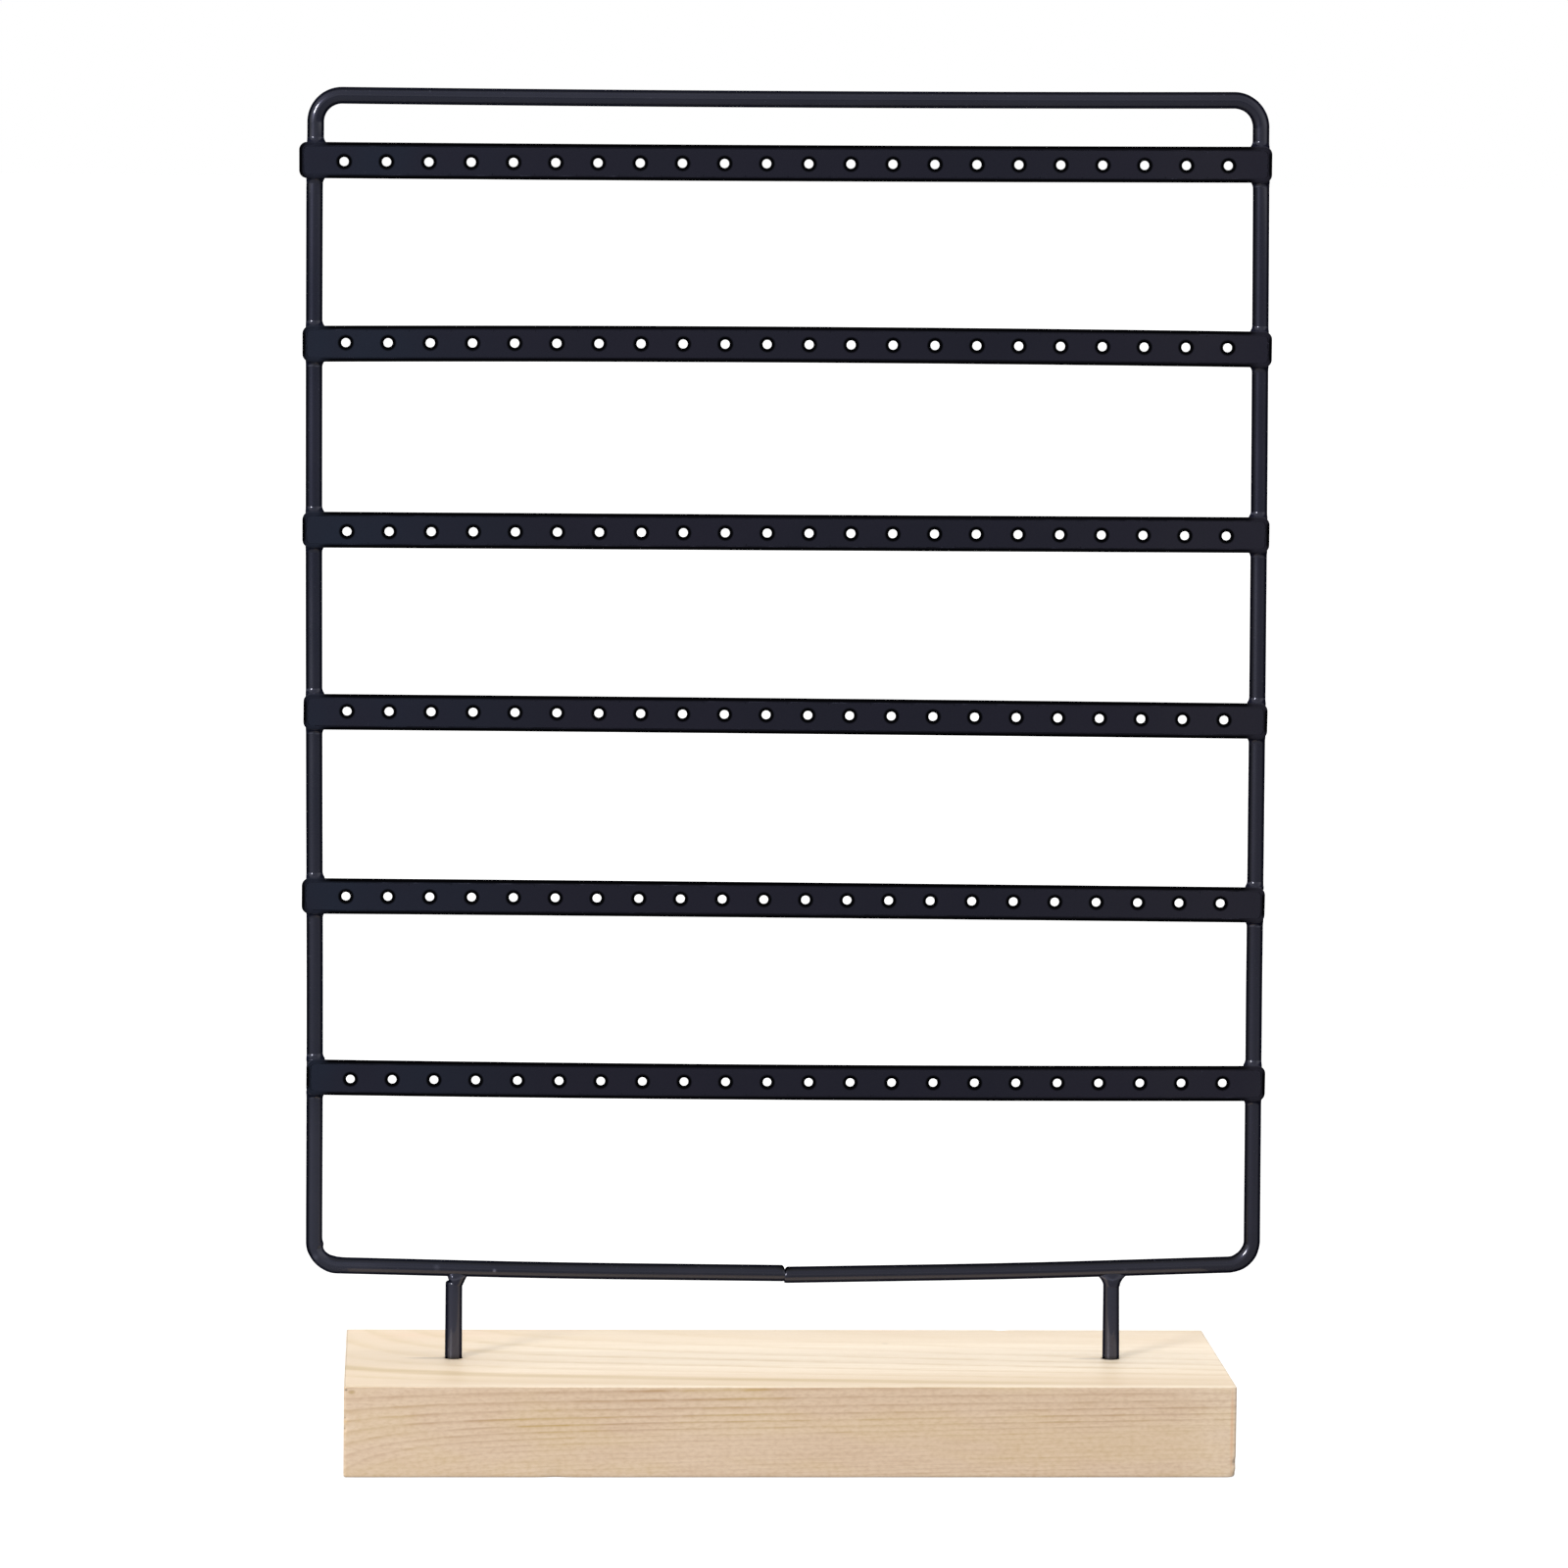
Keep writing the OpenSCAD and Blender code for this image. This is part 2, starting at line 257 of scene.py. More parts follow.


# Satin paint. Its colour runs from left over middle to right and drifts by slow noise, and the mesh's tone
# makes it darker or lighter; most of that is painted shade and painted glints. The gloss fades at a grazing
# view and where it is dark. Roughness varies with the noise. Bump = fine peel + slow waves.
def paintMaterial(name, look):
    material, tree, shader = newMaterial(name)
    x = axesOf(tree)[0]
    slow = noiseAt(tree, (1, 1, 1), look["waveScale"] / 8, 3.0)
    colour = mixColour(tree, rangeOf(tree, x, *look["leftFade"]), look["leftColour"], look["midColour"])
    colour = mixColour(tree, rangeOf(tree, x, *look["rightFade"]), colour, look["rightColour"])
    colour = mixColour(tree, rangeOf(tree, slow, *look["drift"]), colour, look["other"])
    tone = addNode(tree, "ShaderNodeAttribute", attribute_name="tone").outputs["Fac"]
    dark = mathNode(tree, "MULTIPLY", tone, -1.0, clamp=True)
    light = mathNode(tree, "MULTIPLY", tone, 1.0, clamp=True)
    dust = noiseAt(tree, (1, 1, 1), look["dustScale"], 0.0, shift=(3.1, 0, 0))
    dust = productOf(tree, rangeOf(tree, dust, *look["dustFrom"]), look["dust"])
    light = mathNode(tree, "MAXIMUM", light, dust)
    # Below 0 the tone paints shade, above 0 it paints glints; the dust noise adds lighter specks.
    colour = mixColour(tree, dark, colour, look["rim"])
    colour = mixColour(tree, light, colour, look["speck"])
    tree.links.new(colour, shader.inputs["Base Color"])

    facing = addNode(tree, "ShaderNodeLayerWeight", Blend=0.5).outputs["Facing"]
    keep = rangeOf(tree, facing, *look["grazing"], 1.0, 0.0, smooth=True)
    gloss = rangeOf(tree, dark, 0.0, 1.0, look["specular"], look["specular"] * look["rimGloss"])
    tree.links.new(productOf(tree, keep, gloss), shader.inputs["Specular IOR Level"])
    tree.links.new(productOf(tree, keep, look["lacquer"][0]), shader.inputs["Coat Weight"])
    shader.inputs["Coat Roughness"].default_value = look["lacquer"][1]
    shader.inputs["Specular Tint"].default_value = (*look["tint"], 1)
    tree.links.new(rangeOf(tree, slow, 0.3, 0.7, *look["roughness"]), shader.inputs["Roughness"])
    peel = productOf(tree, noiseAt(tree, (1, 1, 1), look["grainScale"], 1.0), look["grainHeight"])
    waves = productOf(tree, noiseAt(tree, (1, 1, 1), look["waveScale"], 2.0), look["waveHeight"])
    addBump(tree, shader, sumOf(tree, peel, waves))
    return material


woodLook = {
    "pale": (0.892, 0.695, 0.512),     # early wood
    "dark": (0.572, 0.358, 0.202),     # late wood lines
    "darkAlso": (0.605, 0.400, 0.150),  # the same in places
    "worn": (0.985, 0.800, 0.610),     # by the right end
    "rosy": (0.860, 0.610, 0.440),     # warm patches
    "topPale": (0.942, 0.820, 0.664),  # the sanded top is paler
    "topWarm": (0.780, 0.632, 0.470),  # towards its front and its left end
    "topDark": (0.710, 0.545, 0.330),  # its late wood lines
    "tan": (0.600, 0.450, 0.240),      # the strong line along the top's front
    "topFrom": (0.24, 0.02),           # mm under the top between which its own colours come in
    "roughness": (0.50, 0.40),         # of early wood and of the late wood lines
    "specular": 0.5,
    "reliefScale": 1400.0, "reliefHeight": 0.000005,    # 1/m and m, the raised fibres
    "rise": 0.0118,         # how much the lines rise to the right, per mm
    "fan": 0.0007,          # how much more they rise per mm of depth
    "backwards": (0.30, 0.0015),    # the top's lines count as depth: a t - b t^2 at t mm behind the front
    "sweepStart": -40.0, "sweepPower": 3.2,     # mm in x, left of which the lines sweep down
    "sweepTop": 0.9, "sweepLow": 0.0125,        # how far at the left end: a + b depth^2
    "firstLine": 0.76, "perMm": 0.385, "narrow": 0.0118,    # lines down to depth q: a + b q + c q^2
    "linePhase": (0.3, 0.8),        # where in a year's growth the late wood starts and is darkest
    "lineLevels": (0.75, 1.15),     # strength of the weakest and of the strongest line
    "topLines": 1.1, "topFine": 0.5,            # strength of the lines and of the fibres on the top
    "tanLine": 1.88, "tanWide": (0.1, 0.36, 1.0, 0.0),      # place and width of the strong line, in lines
    # fades as from, to and the values there. Over the mm behind the front:
    "topRise": (0.0, 9.0, 0.0, 0.006),          # how much more the lines rise
    # by the front edge the warmth gives way to the pale top, a painted highlight along that edge
    "warmFront": (6.0, 30.0, 1.0, 0.0), "edgeHighlight": (1.0, 4.0, 0.0, 1.0),
    "warmBack": (52.0, 70.0, 0.0, 0.55),
    # over x:
    "warmLeft": (-105.0, -50.0, 0.8, 0.0), "wornRight": (96.0, 112.0, 0.0, 0.75),
    "linesLeft": (-105.0, -45.0, 0.6, 1.0), "linesRight": (75.0, 108.0, 1.0, 0.6),
    "tanRight": (40.0, 90.0, 1.0, 0.2),
    # over y, and over the depth q:
    "rosyBack": (18.0, 39.0, 0.12, 0.6),
    "linesTop": (1.2, 2.6, 1.15, 0.0), "linesLow": (8.0, 14.0, 1.1, 0.28),
    # noises: stretch, scale in 1/m, detail, roughness and shift, and the range that each is spread over
    "patterns": {
        "wander": (((0.3, 2, 2), 14.0, 1.0), (0.0, 1.0, -0.35, 0.35)),      # mm that the lines stray
        "ripple": (((0.22, 3, 4), 120.0, 2.0), (0.0, 1.0, -0.2, 0.2)),      # the same, quickly
        "patchy": (((0.3, 3, 3), 34.0, 3.0), (0.36, 0.62, 0.45, 1.0)),      # strength of the lines
        "broken": (((0.8, 3, 4), 170.0, 2.0), (0.34, 0.62, 0.55, 1.25)),    # the same, finer
        "rosy": (((0.8, 1, 2), 26.0, 3.0), (0.5, 0.68)),
        "hue": (((0.5, 2, 2), 70.0, 1.0, 0.5, (0.7, 0, 0)), (0.42, 0.6)),   # from dark to darkAlso
        "fibre": (((0.05, 1, 1), 1100.0, 3.0, 0.6), (0.35, 0.7, 0.0, 0.20)),
        "speckle": (((0.5, 1, 1), 1300.0, 1.0), (0.4, 0.75, 0.0, 0.26)),
        "cloud": (((0.6, 1, 1.4), 40.0, 3.0), (0.35, 0.7, 0.0, 0.10)),
        "streak": (((0.02, 1, 0.2), 420.0, 2.0, 0.6), (0.35, 0.65, 0.0, 0.4)),      # on the top
    },
    # spots and painted shadows as place, radii, colour and strength
    "spotsAndShadows": (
        ((-111.7, -40.0, 22.0), (1.1, 1.4, 0.7), (0.50, 0.33, 0.13), 0.7),
        ((-113.2, -40.0, 22.6), (0.45, 1.0, 0.35), (0.14, 0.10, 0.07), 0.7),
        ((-113.7, -39.8, 15.3), (0.6, 0.8, 0.42), (0.16, 0.11, 0.08), 0.9),
        ((-113.7, -39.8, 12.6), (0.5, 0.8, 0.36), (0.18, 0.12, 0.09), 0.8),
        ((113.7, -39.9, 3.9), (0.7, 1.0, 0.55), (0.12, 0.08, 0.06), 0.9),
        ((112.6, -40.0, 11.7), (0.5, 1.2, 14.0), (0.86, 0.47, 0.25), 0.45),
        ((27.8, 20.2, 23.4), (1.3, 1.6, 1.0), (0.40, 0.30, 0.20), 0.2),
        # painted shadows beside the feet of the left and right leg
        ((-90.5, -0.8, 23.4), (9.0, 1.7, 1.0), (0.42, 0.34, 0.27), 0.6),
        ((81.0, -0.8, 23.4), (7.0, 1.6, 1.0), (0.42, 0.34, 0.27), 0.5),
    ),
}


# Pine. D = depth under the top + a t - b t^2, with t mm behind the front, so the lines run over the edge.
# q = D + x (rise + fan D + topRise) - u^p (sweepTop + sweepLow D^2) + wander + ripple, with u from 0 at
# sweepStart to 1 at the left end. n = firstLine + perMm q + narrow q^2. A late wood line is where n is
# whole.
def woodMaterial(name, look, size):
    material, tree, shader = newMaterial(name)
    pattern = {}
    for key, (noise, spread) in look["patterns"].items():
        pattern[key] = rangeOf(tree, noiseAt(tree, *noise), *spread)
    x, y, z = (productOf(tree, axis, 1 / mm) for axis in axesOf(tree))
    back = sumOf(tree, y, size[1] / 2)
    a, b = look["backwards"]
    depth = mathNode(tree, "SUBTRACT", size[2], z)
    depth = sumOf(tree, depth, productOf(tree, back, a), productOf(tree, back, back, -b))
    sweep = mathNode(tree, "POWER", rangeOf(tree, x, look["sweepStart"], -size[0] / 2), look["sweepPower"])
    drop = sumOf(tree, productOf(tree, depth, depth, look["sweepLow"]), look["sweepTop"])
    slant = sumOf(tree, productOf(tree, depth, look["fan"]), look["rise"],
                  rangeOf(tree, back, *look["topRise"]))
    q = sumOf(tree, depth, productOf(tree, x, slant), productOf(tree, sweep, drop, -1.0),
              pattern["wander"], pattern["ripple"])
    perMm = sumOf(tree, productOf(tree, q, look["narrow"]), look["perMm"])
    number = sumOf(tree, productOf(tree, q, perMm), look["firstLine"])

    # A line darkens slowly and ends quickly, and has a strength of its own.
    start, full = look["linePhase"]
    turned = mathNode(tree, "SUBTRACT", full, number)
    phase = mathNode(tree, "FRACT", turned)
    line = productOf(tree, mathNode(tree, "POWER", rangeOf(tree, phase, start, full), 2.0),
                     rangeOf(tree, phase, full, 1.0, 1.0, 0.0))
    white = addNode(tree, "ShaderNodeTexWhiteNoise", noise_dimensions="1D")
    tree.links.new(mathNode(tree, "FLOOR", turned), white.inputs["W"])
    own = rangeOf(tree, white.outputs["Value"], 0.0, 1.0, *look["lineLevels"])
    onTop = rangeOf(tree, z, *(size[2] - under for under in look["topFrom"]), smooth=True)
    level = mathNode(tree, "MAXIMUM", rangeOf(tree, q, *look["linesTop"]),
                     rangeOf(tree, q, *look["linesLow"]))
    ends = productOf(tree, rangeOf(tree, x, *look["linesLeft"]), rangeOf(tree, x, *look["linesRight"]))
    level = productOf(tree, level, mathNode(tree, "MAXIMUM", ends, onTop), pattern["broken"],
                      rangeOf(tree, onTop, 0.0, 1.0, 1.0, look["topLines"]))
    late = productOf(tree, line, pattern["patchy"], level, own)

    # Warmer towards the top's front and left end; right at the front edge it stays pale, a painted
    # highlight along that edge.
    toFront = productOf(tree, rangeOf(tree, back, *look["warmFront"], smooth=True),
                        rangeOf(tree, back, *look["edgeHighlight"]))
    toLeft = rangeOf(tree, x, *look["warmLeft"], smooth=True)
    toBack = rangeOf(tree, back, *look["warmBack"], smooth=True)
    warm = mathNode(tree, "MAXIMUM", toBack, mathNode(tree, "MAXIMUM", toFront, toLeft))
    topPale = mixColour(tree, warm, look["topPale"], look["topWarm"])
    colour = mixColour(tree, rangeOf(tree, x, *look["wornRight"], smooth=True), look["pale"], look["worn"])
    colour = mixColour(tree, onTop, colour, topPale)
    rosy = productOf(tree, pattern["rosy"], rangeOf(tree, y, *look["rosyBack"]))
    colour = mixColour(tree, rosy, colour, look["rosy"])
    stain = mixColour(tree, pattern["hue"], look["dark"], look["darkAlso"])
    stain = mixColour(tree, onTop, stain, look["topDark"])
    colour = mixColour(tree, late, colour, stain)
    beside = mathNode(tree, "ABSOLUTE", sumOf(tree, number, -look["tanLine"]))
    tan = productOf(tree, rangeOf(tree, beside, *look["tanWide"]), onTop,
                    sumOf(tree, productOf(tree, pattern["patchy"], 0.5), 0.5),
                    rangeOf(tree, x, *look["tanRight"]))
    colour = mixColour(tree, tan, colour, look["tan"])
    colour = mixColour(tree, productOf(tree, pattern["streak"], onTop), colour, look["topWarm"])
    fine = productOf(tree, sumOf(tree, pattern["fibre"], pattern["speckle"], pattern["cloud"]),
                     rangeOf(tree, onTop, 0.0, 1.0, 1.0, look["topFine"]))
    colour = mixColour(tree, fine, colour, stain)
    # Spots, and painted shadows beside the legs' feet.
    for spot, radii, shade, strength in look["spotsAndShadows"]:
        share = productOf(tree, spotAt(tree, (x, y, z), spot, radii), strength)
        colour = mixColour(tree, share, colour, shade)
    tree.links.new(colour, shader.inputs["Base Color"])
    shader.inputs["Specular IOR Level"].default_value = look["specular"]
    tree.links.new(rangeOf(tree, late, 0.0, 1.0, *look["roughness"]), shader.inputs["Roughness"])
    relief = noiseAt(tree, (0.06, 1, 1), look["reliefScale"], 2.0)
    addBump(tree, shader, productOf(tree, relief, look["reliefHeight"]))
    return material


blockForm = {
    "size": (227.5, 80.0, 23.4),
    "plan": 0.7,        # radius of the upright edges
    "ease": 0.22, "easeUnder": 0.5,     # radius of the edges of its top and underside
    "easeVary": 0.06,   # how uneven the sanding is
    "step": 0.75,       # between points along the edges
    "sideRows": 38, "faceRows": 9, "roundRows": 7,
    "faceEdge": 0.006,  # share of the way in at which the flat of a face starts
    "faceCrowd": 1.6,   # how much the top's rows crowd towards the bores
    "boreAt": {left: -85.75, right: 85.3}, "boreRadius": 2.32, "boreDepth": 15.0, "boreEdge": 0.2,
    # dents as place, size and depth, all pushed into the block
    "dents": (
        ((-113.75, -40.0, 15.3), 0.7, 0.6), ((-113.75, -40.0, 12.6), 0.6, 0.55),
        ((-111.9, -40.0, 22.4), 0.8, 0.3), ((113.75, -40.0, 3.9), 0.8, 0.7),
        ((113.9, -39.8, 0.3), 1.3, 0.6), ((20.0, -40.0, 23.4), 1.2, 0.12),
        ((-60.0, -40.0, 0.0), 2.5, 0.2), ((60.0, 40.0, 23.4), 1.6, 0.25), ((27.8, 20.2, 23.4), 1.0, 0.15),
    ),
    "dentAim": (80.0, 0.6),     # they push towards the middle line: its half length, and the share in y
}


# Rounded rectangle in plan, anticlockwise from the front left, as points and outward normals.
def roundedOutline(halfX, halfY, radius, xs, ySteps, arcSteps):
    ys = np.linspace(-(halfY - radius), halfY - radius, ySteps + 1)
    turn = np.radians(np.linspace(0, 90, arcSteps + 1))[1:-1]
    corner = lambda cx, cy, start: (
        np.stack([cx + radius * np.cos(turn + start), cy + radius * np.sin(turn + start)], 1),
        np.stack([np.cos(turn + start), np.sin(turn + start)], 1))
    flat = lambda x, y, nx, ny: (np.stack(np.broadcast_arrays(x, y), 1).astype(float),
                                 np.tile([float(nx), float(ny)], (max(np.size(x), np.size(y)), 1)))
    cx, cy = halfX - radius, halfY - radius
    sides = [flat(xs, -halfY, 0, -1), corner(cx, -cy, -np.pi / 2),
             flat(halfX, ys, 1, 0), corner(cx, cy, 0.0),
             flat(xs[::-1], halfY, 0, 1), corner(-cx, cy, np.pi / 2),
             flat(-halfX, ys[::-1], -1, 0), corner(-cx, -cy, np.pi)]
    return np.concatenate([p for p, _ in sides]), np.concatenate([n for _, n in sides])


# Grid lines from a closed boundary to a round hole in it: boundary (1 - s) + hole s.
def faceToHole(boundary, centre, radius, shares):
    away = boundary - centre
    hole = centre + radius * away / np.linalg.norm(away, axis=1, keepdims=True)
    s = np.asarray(shares)[:, None, None]
    return boundary * (1 - s) + hole * s


# Slow waves along a closed outline: three sines of different length, from -1 to 1.
def outlineWaves(count, seed):
    t = np.linspace(0, 2 * np.pi, count, endpoint=False)
    return (np.sin(11 * t + seed) + np.sin(23 * t + 2.1 * seed) + np.sin(47 * t + 3.7 * seed)) / 3


# Block: the outline is carried over a rounded top edge, down the side and round the bottom edge, inwards by
# e (1 - sin a) and down by e (1 - cos a). The top is filled in two cells, each drawn in to a bore.
def makeBlock(f, material):
    width, depth, height = f["size"]
    reach = width / 2 - f["plan"]
    xs = np.linspace(-reach, reach, 2 * round(width / 2 / f["step"]) + 1)
    ySteps = round(depth / f["step"] / 2) * 2
    outline, normals = roundedOutline(width / 2, depth / 2, f["plan"], xs, ySteps, 8)
    count = len(outline)
    ease = f["ease"] + f["easeVary"] * outlineWaves(count, 1.3)
    under = f["easeUnder"] + f["easeVary"] * outlineWaves(count, 4.1)
    turn = np.radians(np.linspace(0, 90, f["roundRows"]))
    inset = lambda by: outline - normals * by[:, None]
    rings = []
    for a in turn:
        rings.append(np.column_stack([inset(ease * (1 - np.sin(a))), height - ease * (1 - np.cos(a))]))
    for t in np.linspace(0, 1, f["sideRows"])[1:-1]:
        rings.append(np.column_stack([outline, (height - ease) * (1 - t) + under * t]))
    for a in turn[::-1]:
        rings.append(np.column_stack([inset(under * (1 - np.sin(a))), under * (1 - np.cos(a))]))
    for s in (f["faceEdge"], 0.3, 0.65, 1.0):
        rings.append(np.column_stack([inset(under) * (1 - s), np.zeros(count)]))
    parts = [(np.concatenate(rings), gridQuads(len(rings), count, wrapCols=True))]

    topRim = inset(ease)
    frontMiddle = int(np.argmin(np.abs(outline[:, 0]) + (outline[:, 1] > 0) * 1e3))
    backMiddle = int(np.argmin(np.abs(outline[:, 0]) + (outline[:, 1] < 0) * 1e3))
    seam = np.linspace(topRim[backMiddle], topRim[frontMiddle], 60)[1:-1]
    cells = {
        right: np.concatenate([topRim[frontMiddle:backMiddle + 1], seam]),
        left: np.concatenate([topRim[backMiddle:], topRim[:frontMiddle + 1], seam[::-1]]),
    }
    shares = 1 - np.linspace(1, 0, f["faceRows"]) ** f["faceCrowd"]
    shares[1] = f["faceEdge"]
    for side, boundary in cells.items():
        centre = np.array([f["boreAt"][side], 0.0])
        rows = list(faceToHole(boundary, centre, f["boreRadius"] + f["boreEdge"], shares))
        levels = [height] * len(rows)
        for a in turn[1:]:
            radius = f["boreRadius"] + f["boreEdge"] * (1 - np.sin(a))
            rows.append(faceToHole(boundary, centre, radius, [1.0])[0])
            levels.append(height - f["boreEdge"] * (1 - np.cos(a)))
        rows += [rows[-1]] * 3 + [np.tile(centre, (len(boundary), 1))]
        levels += [height - 3, height - 8, height - f["boreDepth"], height - f["boreDepth"]]
        points = np.column_stack([np.concatenate(rows), np.repeat(levels, len(boundary))])
        parts.append((points, gridQuads(len(rows), len(boundary), wrapCols=True)))
    points, quads = joinShells(parts)

    # Dents push points towards the block's middle line.
    reach, flatten = f["dentAim"]
    middle = np.tile([0.0, 0.0, height / 2], (len(points), 1))
    middle[:, 0] = np.clip(points[:, 0], -reach, reach)
    inward = (middle - points) * [1.0, flatten, 1.0]
    inward /= np.linalg.norm(inward, axis=1, keepdims=True) + 1e-9
    for place, size, deep in f["dents"]:
        points = points + inward * (deep * bumpAt(points, place, size))[:, None]
    return addPiece("pineBlock", points, quads, material, ["base_block"])


loopForm = {
    "radius": 2.13,
    # corners of the centre line as x and z, from the left end of the butt joint clockwise to the right end
    "corners": ((0.0, 45.7), (-60.95, 46.3), (-121.9, 47.7), (-123.0, 348.45),
                (119.0, 349.75), (121.87, 48.33), (60.95, 46.33), (0.0, 45.25)),
    "bends": (0, 3000.0, 6.2, 6.8, 7.0, 6.4, 3000.0, 0),
    "runStep": 2.2, "bendStep": 0.35, "markStep": 0.12, "around": 48,
    "bendNear": (7.0, 12.0), "markNear": (2.2, 3.4),    # mm from a corner or mark that those steps reach
    "pinch": (0.05, 0.0, 0.02, -0.05),  # how much each bend narrows the rod in its plane, as a share
    "pinchNear": (3.0, 4.6),            # mm from the corner that this reaches
    "endLong": 1.0,        # rounding of the two rod ends along the rod
    "endDeep": 1.95,       # the same, in from the top of the rod
    "endLow": 0.16,        # the same, in from its sides and underside, where the weld fills it
    "endLap": 0.1,         # how deep the ends are melted into each other
    "endClear": 1.2,       # how far from its tips the even rod starts
    # bows of the uprights as side, mm to the right, and from and to in z
    "bows": ((left, -0.14, 165.0, 330.0), (left, 0.14, 60.0, 165.0), (right, 0.2, 120.0, 335.0)),
    "topBow": 0.35, "topDrop": 0.1, "topRange": (325.0, 345.0),
    "leanIn": {left: 0.26, right: 0.14}, "leanRange": (324.0, 341.0),   # below the top bends
    # painted shade: the coat is darker on the sides that look left or up, from and to this share of the way
    # round
    "sideShade": 0.60, "sideRange": (0.50, 0.72),
    # it is darker along the bottom run and lighter low on the left upright: tone and ranges in x and z
    "lowTones": ((-0.15, (-95.0, -65.0), (60.0, 54.0)), (0.07, (-100.0, -110.0), (105.0, 75.0))),
    "seamShade": 0.8, "seamWide": 1.1, "seamUp": (0.5, 1.4),     # painted shade in the gap in the top of the butt joint
}


# Centre line: straight runs between the corners, each corner cut off by an arc of its bend radius,
# whose tangent length is r tan(turn / 2).
def loopPath(f):
    corner = np.array(f["corners"], float)
    ways = np.diff(corner, axis=0)
    ways /= np.linalg.norm(ways, axis=1, keepdims=True)
    steps = lambda a, b: max(2, round(np.linalg.norm(b - a) / 0.5))
    pieces, start = [], corner[0]
    for i in range(1, len(corner) - 1):
        before, after, radius = ways[i - 1], ways[i], f["bends"][i]
        turn = np.arccos(np.clip(before @ after, -1, 1))
        stop = corner[i] - before * radius * np.tan(turn / 2)
        pieces.append(np.linspace(start, stop, steps(start, stop), endpoint=False))
        side = np.sign(before[0] * after[1] - before[1] * after[0])
        normal = side * np.array([-before[1], before[0]])
        a = np.linspace(0, turn, 120, endpoint=False)[:, None]
        pieces.append(stop + radius * (np.sin(a) * before + (1 - np.cos(a)) * normal))
        start = stop + radius * (np.sin(turn) * before + (1 - np.cos(turn)) * normal)
    pieces.append(np.linspace(start, corner[-1], steps(start, corner[-1])))
    line = np.concatenate(pieces)

    # Hand fit: the uprights bow sideways and lean in at their tops. The top run rises towards its bends.
    x, z = line[:, 0].copy(), line[:, 1].copy()
    for side, bow, low, high in f["bows"]:
        line[:, 0] += bow * (x * side > 100) * np.sin(np.pi * np.clip((z - low) / (high - low), 0, 1))
    lean = f["leanIn"][left] * (1 - smoothStep(x, -120, -50)) - f["leanIn"][right] * smoothStep(x, 70, 120)
    line[:, 0] += smoothStep(z, *f["leanRange"]) * lean
    line[:, 1] += smoothStep(z, *f["topRange"]) * (f["topBow"] * (x / 110) ** 2 - f["topDrop"])
    return line


# Spreads points over a line so that their density is 1/runStep, with 1/bendStep more in the bends and
# 1/markStep more at the marks.
def spreadPath(line, f, marks):
    along = np.concatenate([[0], np.cumsum(np.linalg.norm(np.diff(line, axis=0), axis=1))])
    fine = np.linspace(0, along[-1], round(along[-1] / 0.05))
    point = np.column_stack([np.interp(fine, along, line[:, k]) for k in range(2)])
    away = lambda places: np.linalg.norm(point[:, None] - np.asarray(places, float)[None], axis=2).min(1)
    inBends = 1 - smoothStep(away(f["corners"][2:6]), *f["bendNear"])
    atMarks = 1 - smoothStep(away([(place[0], place[2]) for place, *_ in marks]), *f["markNear"])
    density = 1 / f["runStep"] + inBends / f["bendStep"] + atMarks / f["markStep"]
    total = np.concatenate([[0], np.cumsum((density[1:] + density[:-1]) / 2 * np.diff(fine))])
    chosen = np.interp(np.linspace(0, total[-1], round(total[-1])), total, fine)
    return np.column_stack([np.interp(chosen, along, line[:, k]) for k in range(2)])


# small marks in the coat as place, size, height (negative is a pit) and tone (negative is darker). The
# lighter ones are painted glints.
loopMarks = (
    ((-119.8, -0.3, 53.3), 0.75, 0.34, -0.7), ((-120.5, -1.7, 52.2), 0.5, -0.2, -0.5),
    ((-121.5, -1.8, 50.0), 0.7, 0.1, 0.35), ((-117.2, -0.2, 49.9), 1.9, 0.24, 0.0),
    ((-75.3, -2.1, 46.6), 0.42, 0.12, 1.0), ((-123.5, -1.6, 337.6), 0.45, 0.06, 0.9),
    ((118.0, -1.8, 338.6), 0.45, 0.06, 0.8), ((-90.2, -1.9, 47.4), 0.7, 0.05, 0.25),
    ((88.6, -1.9, 47.0), 0.7, 0.05, 0.22),
)
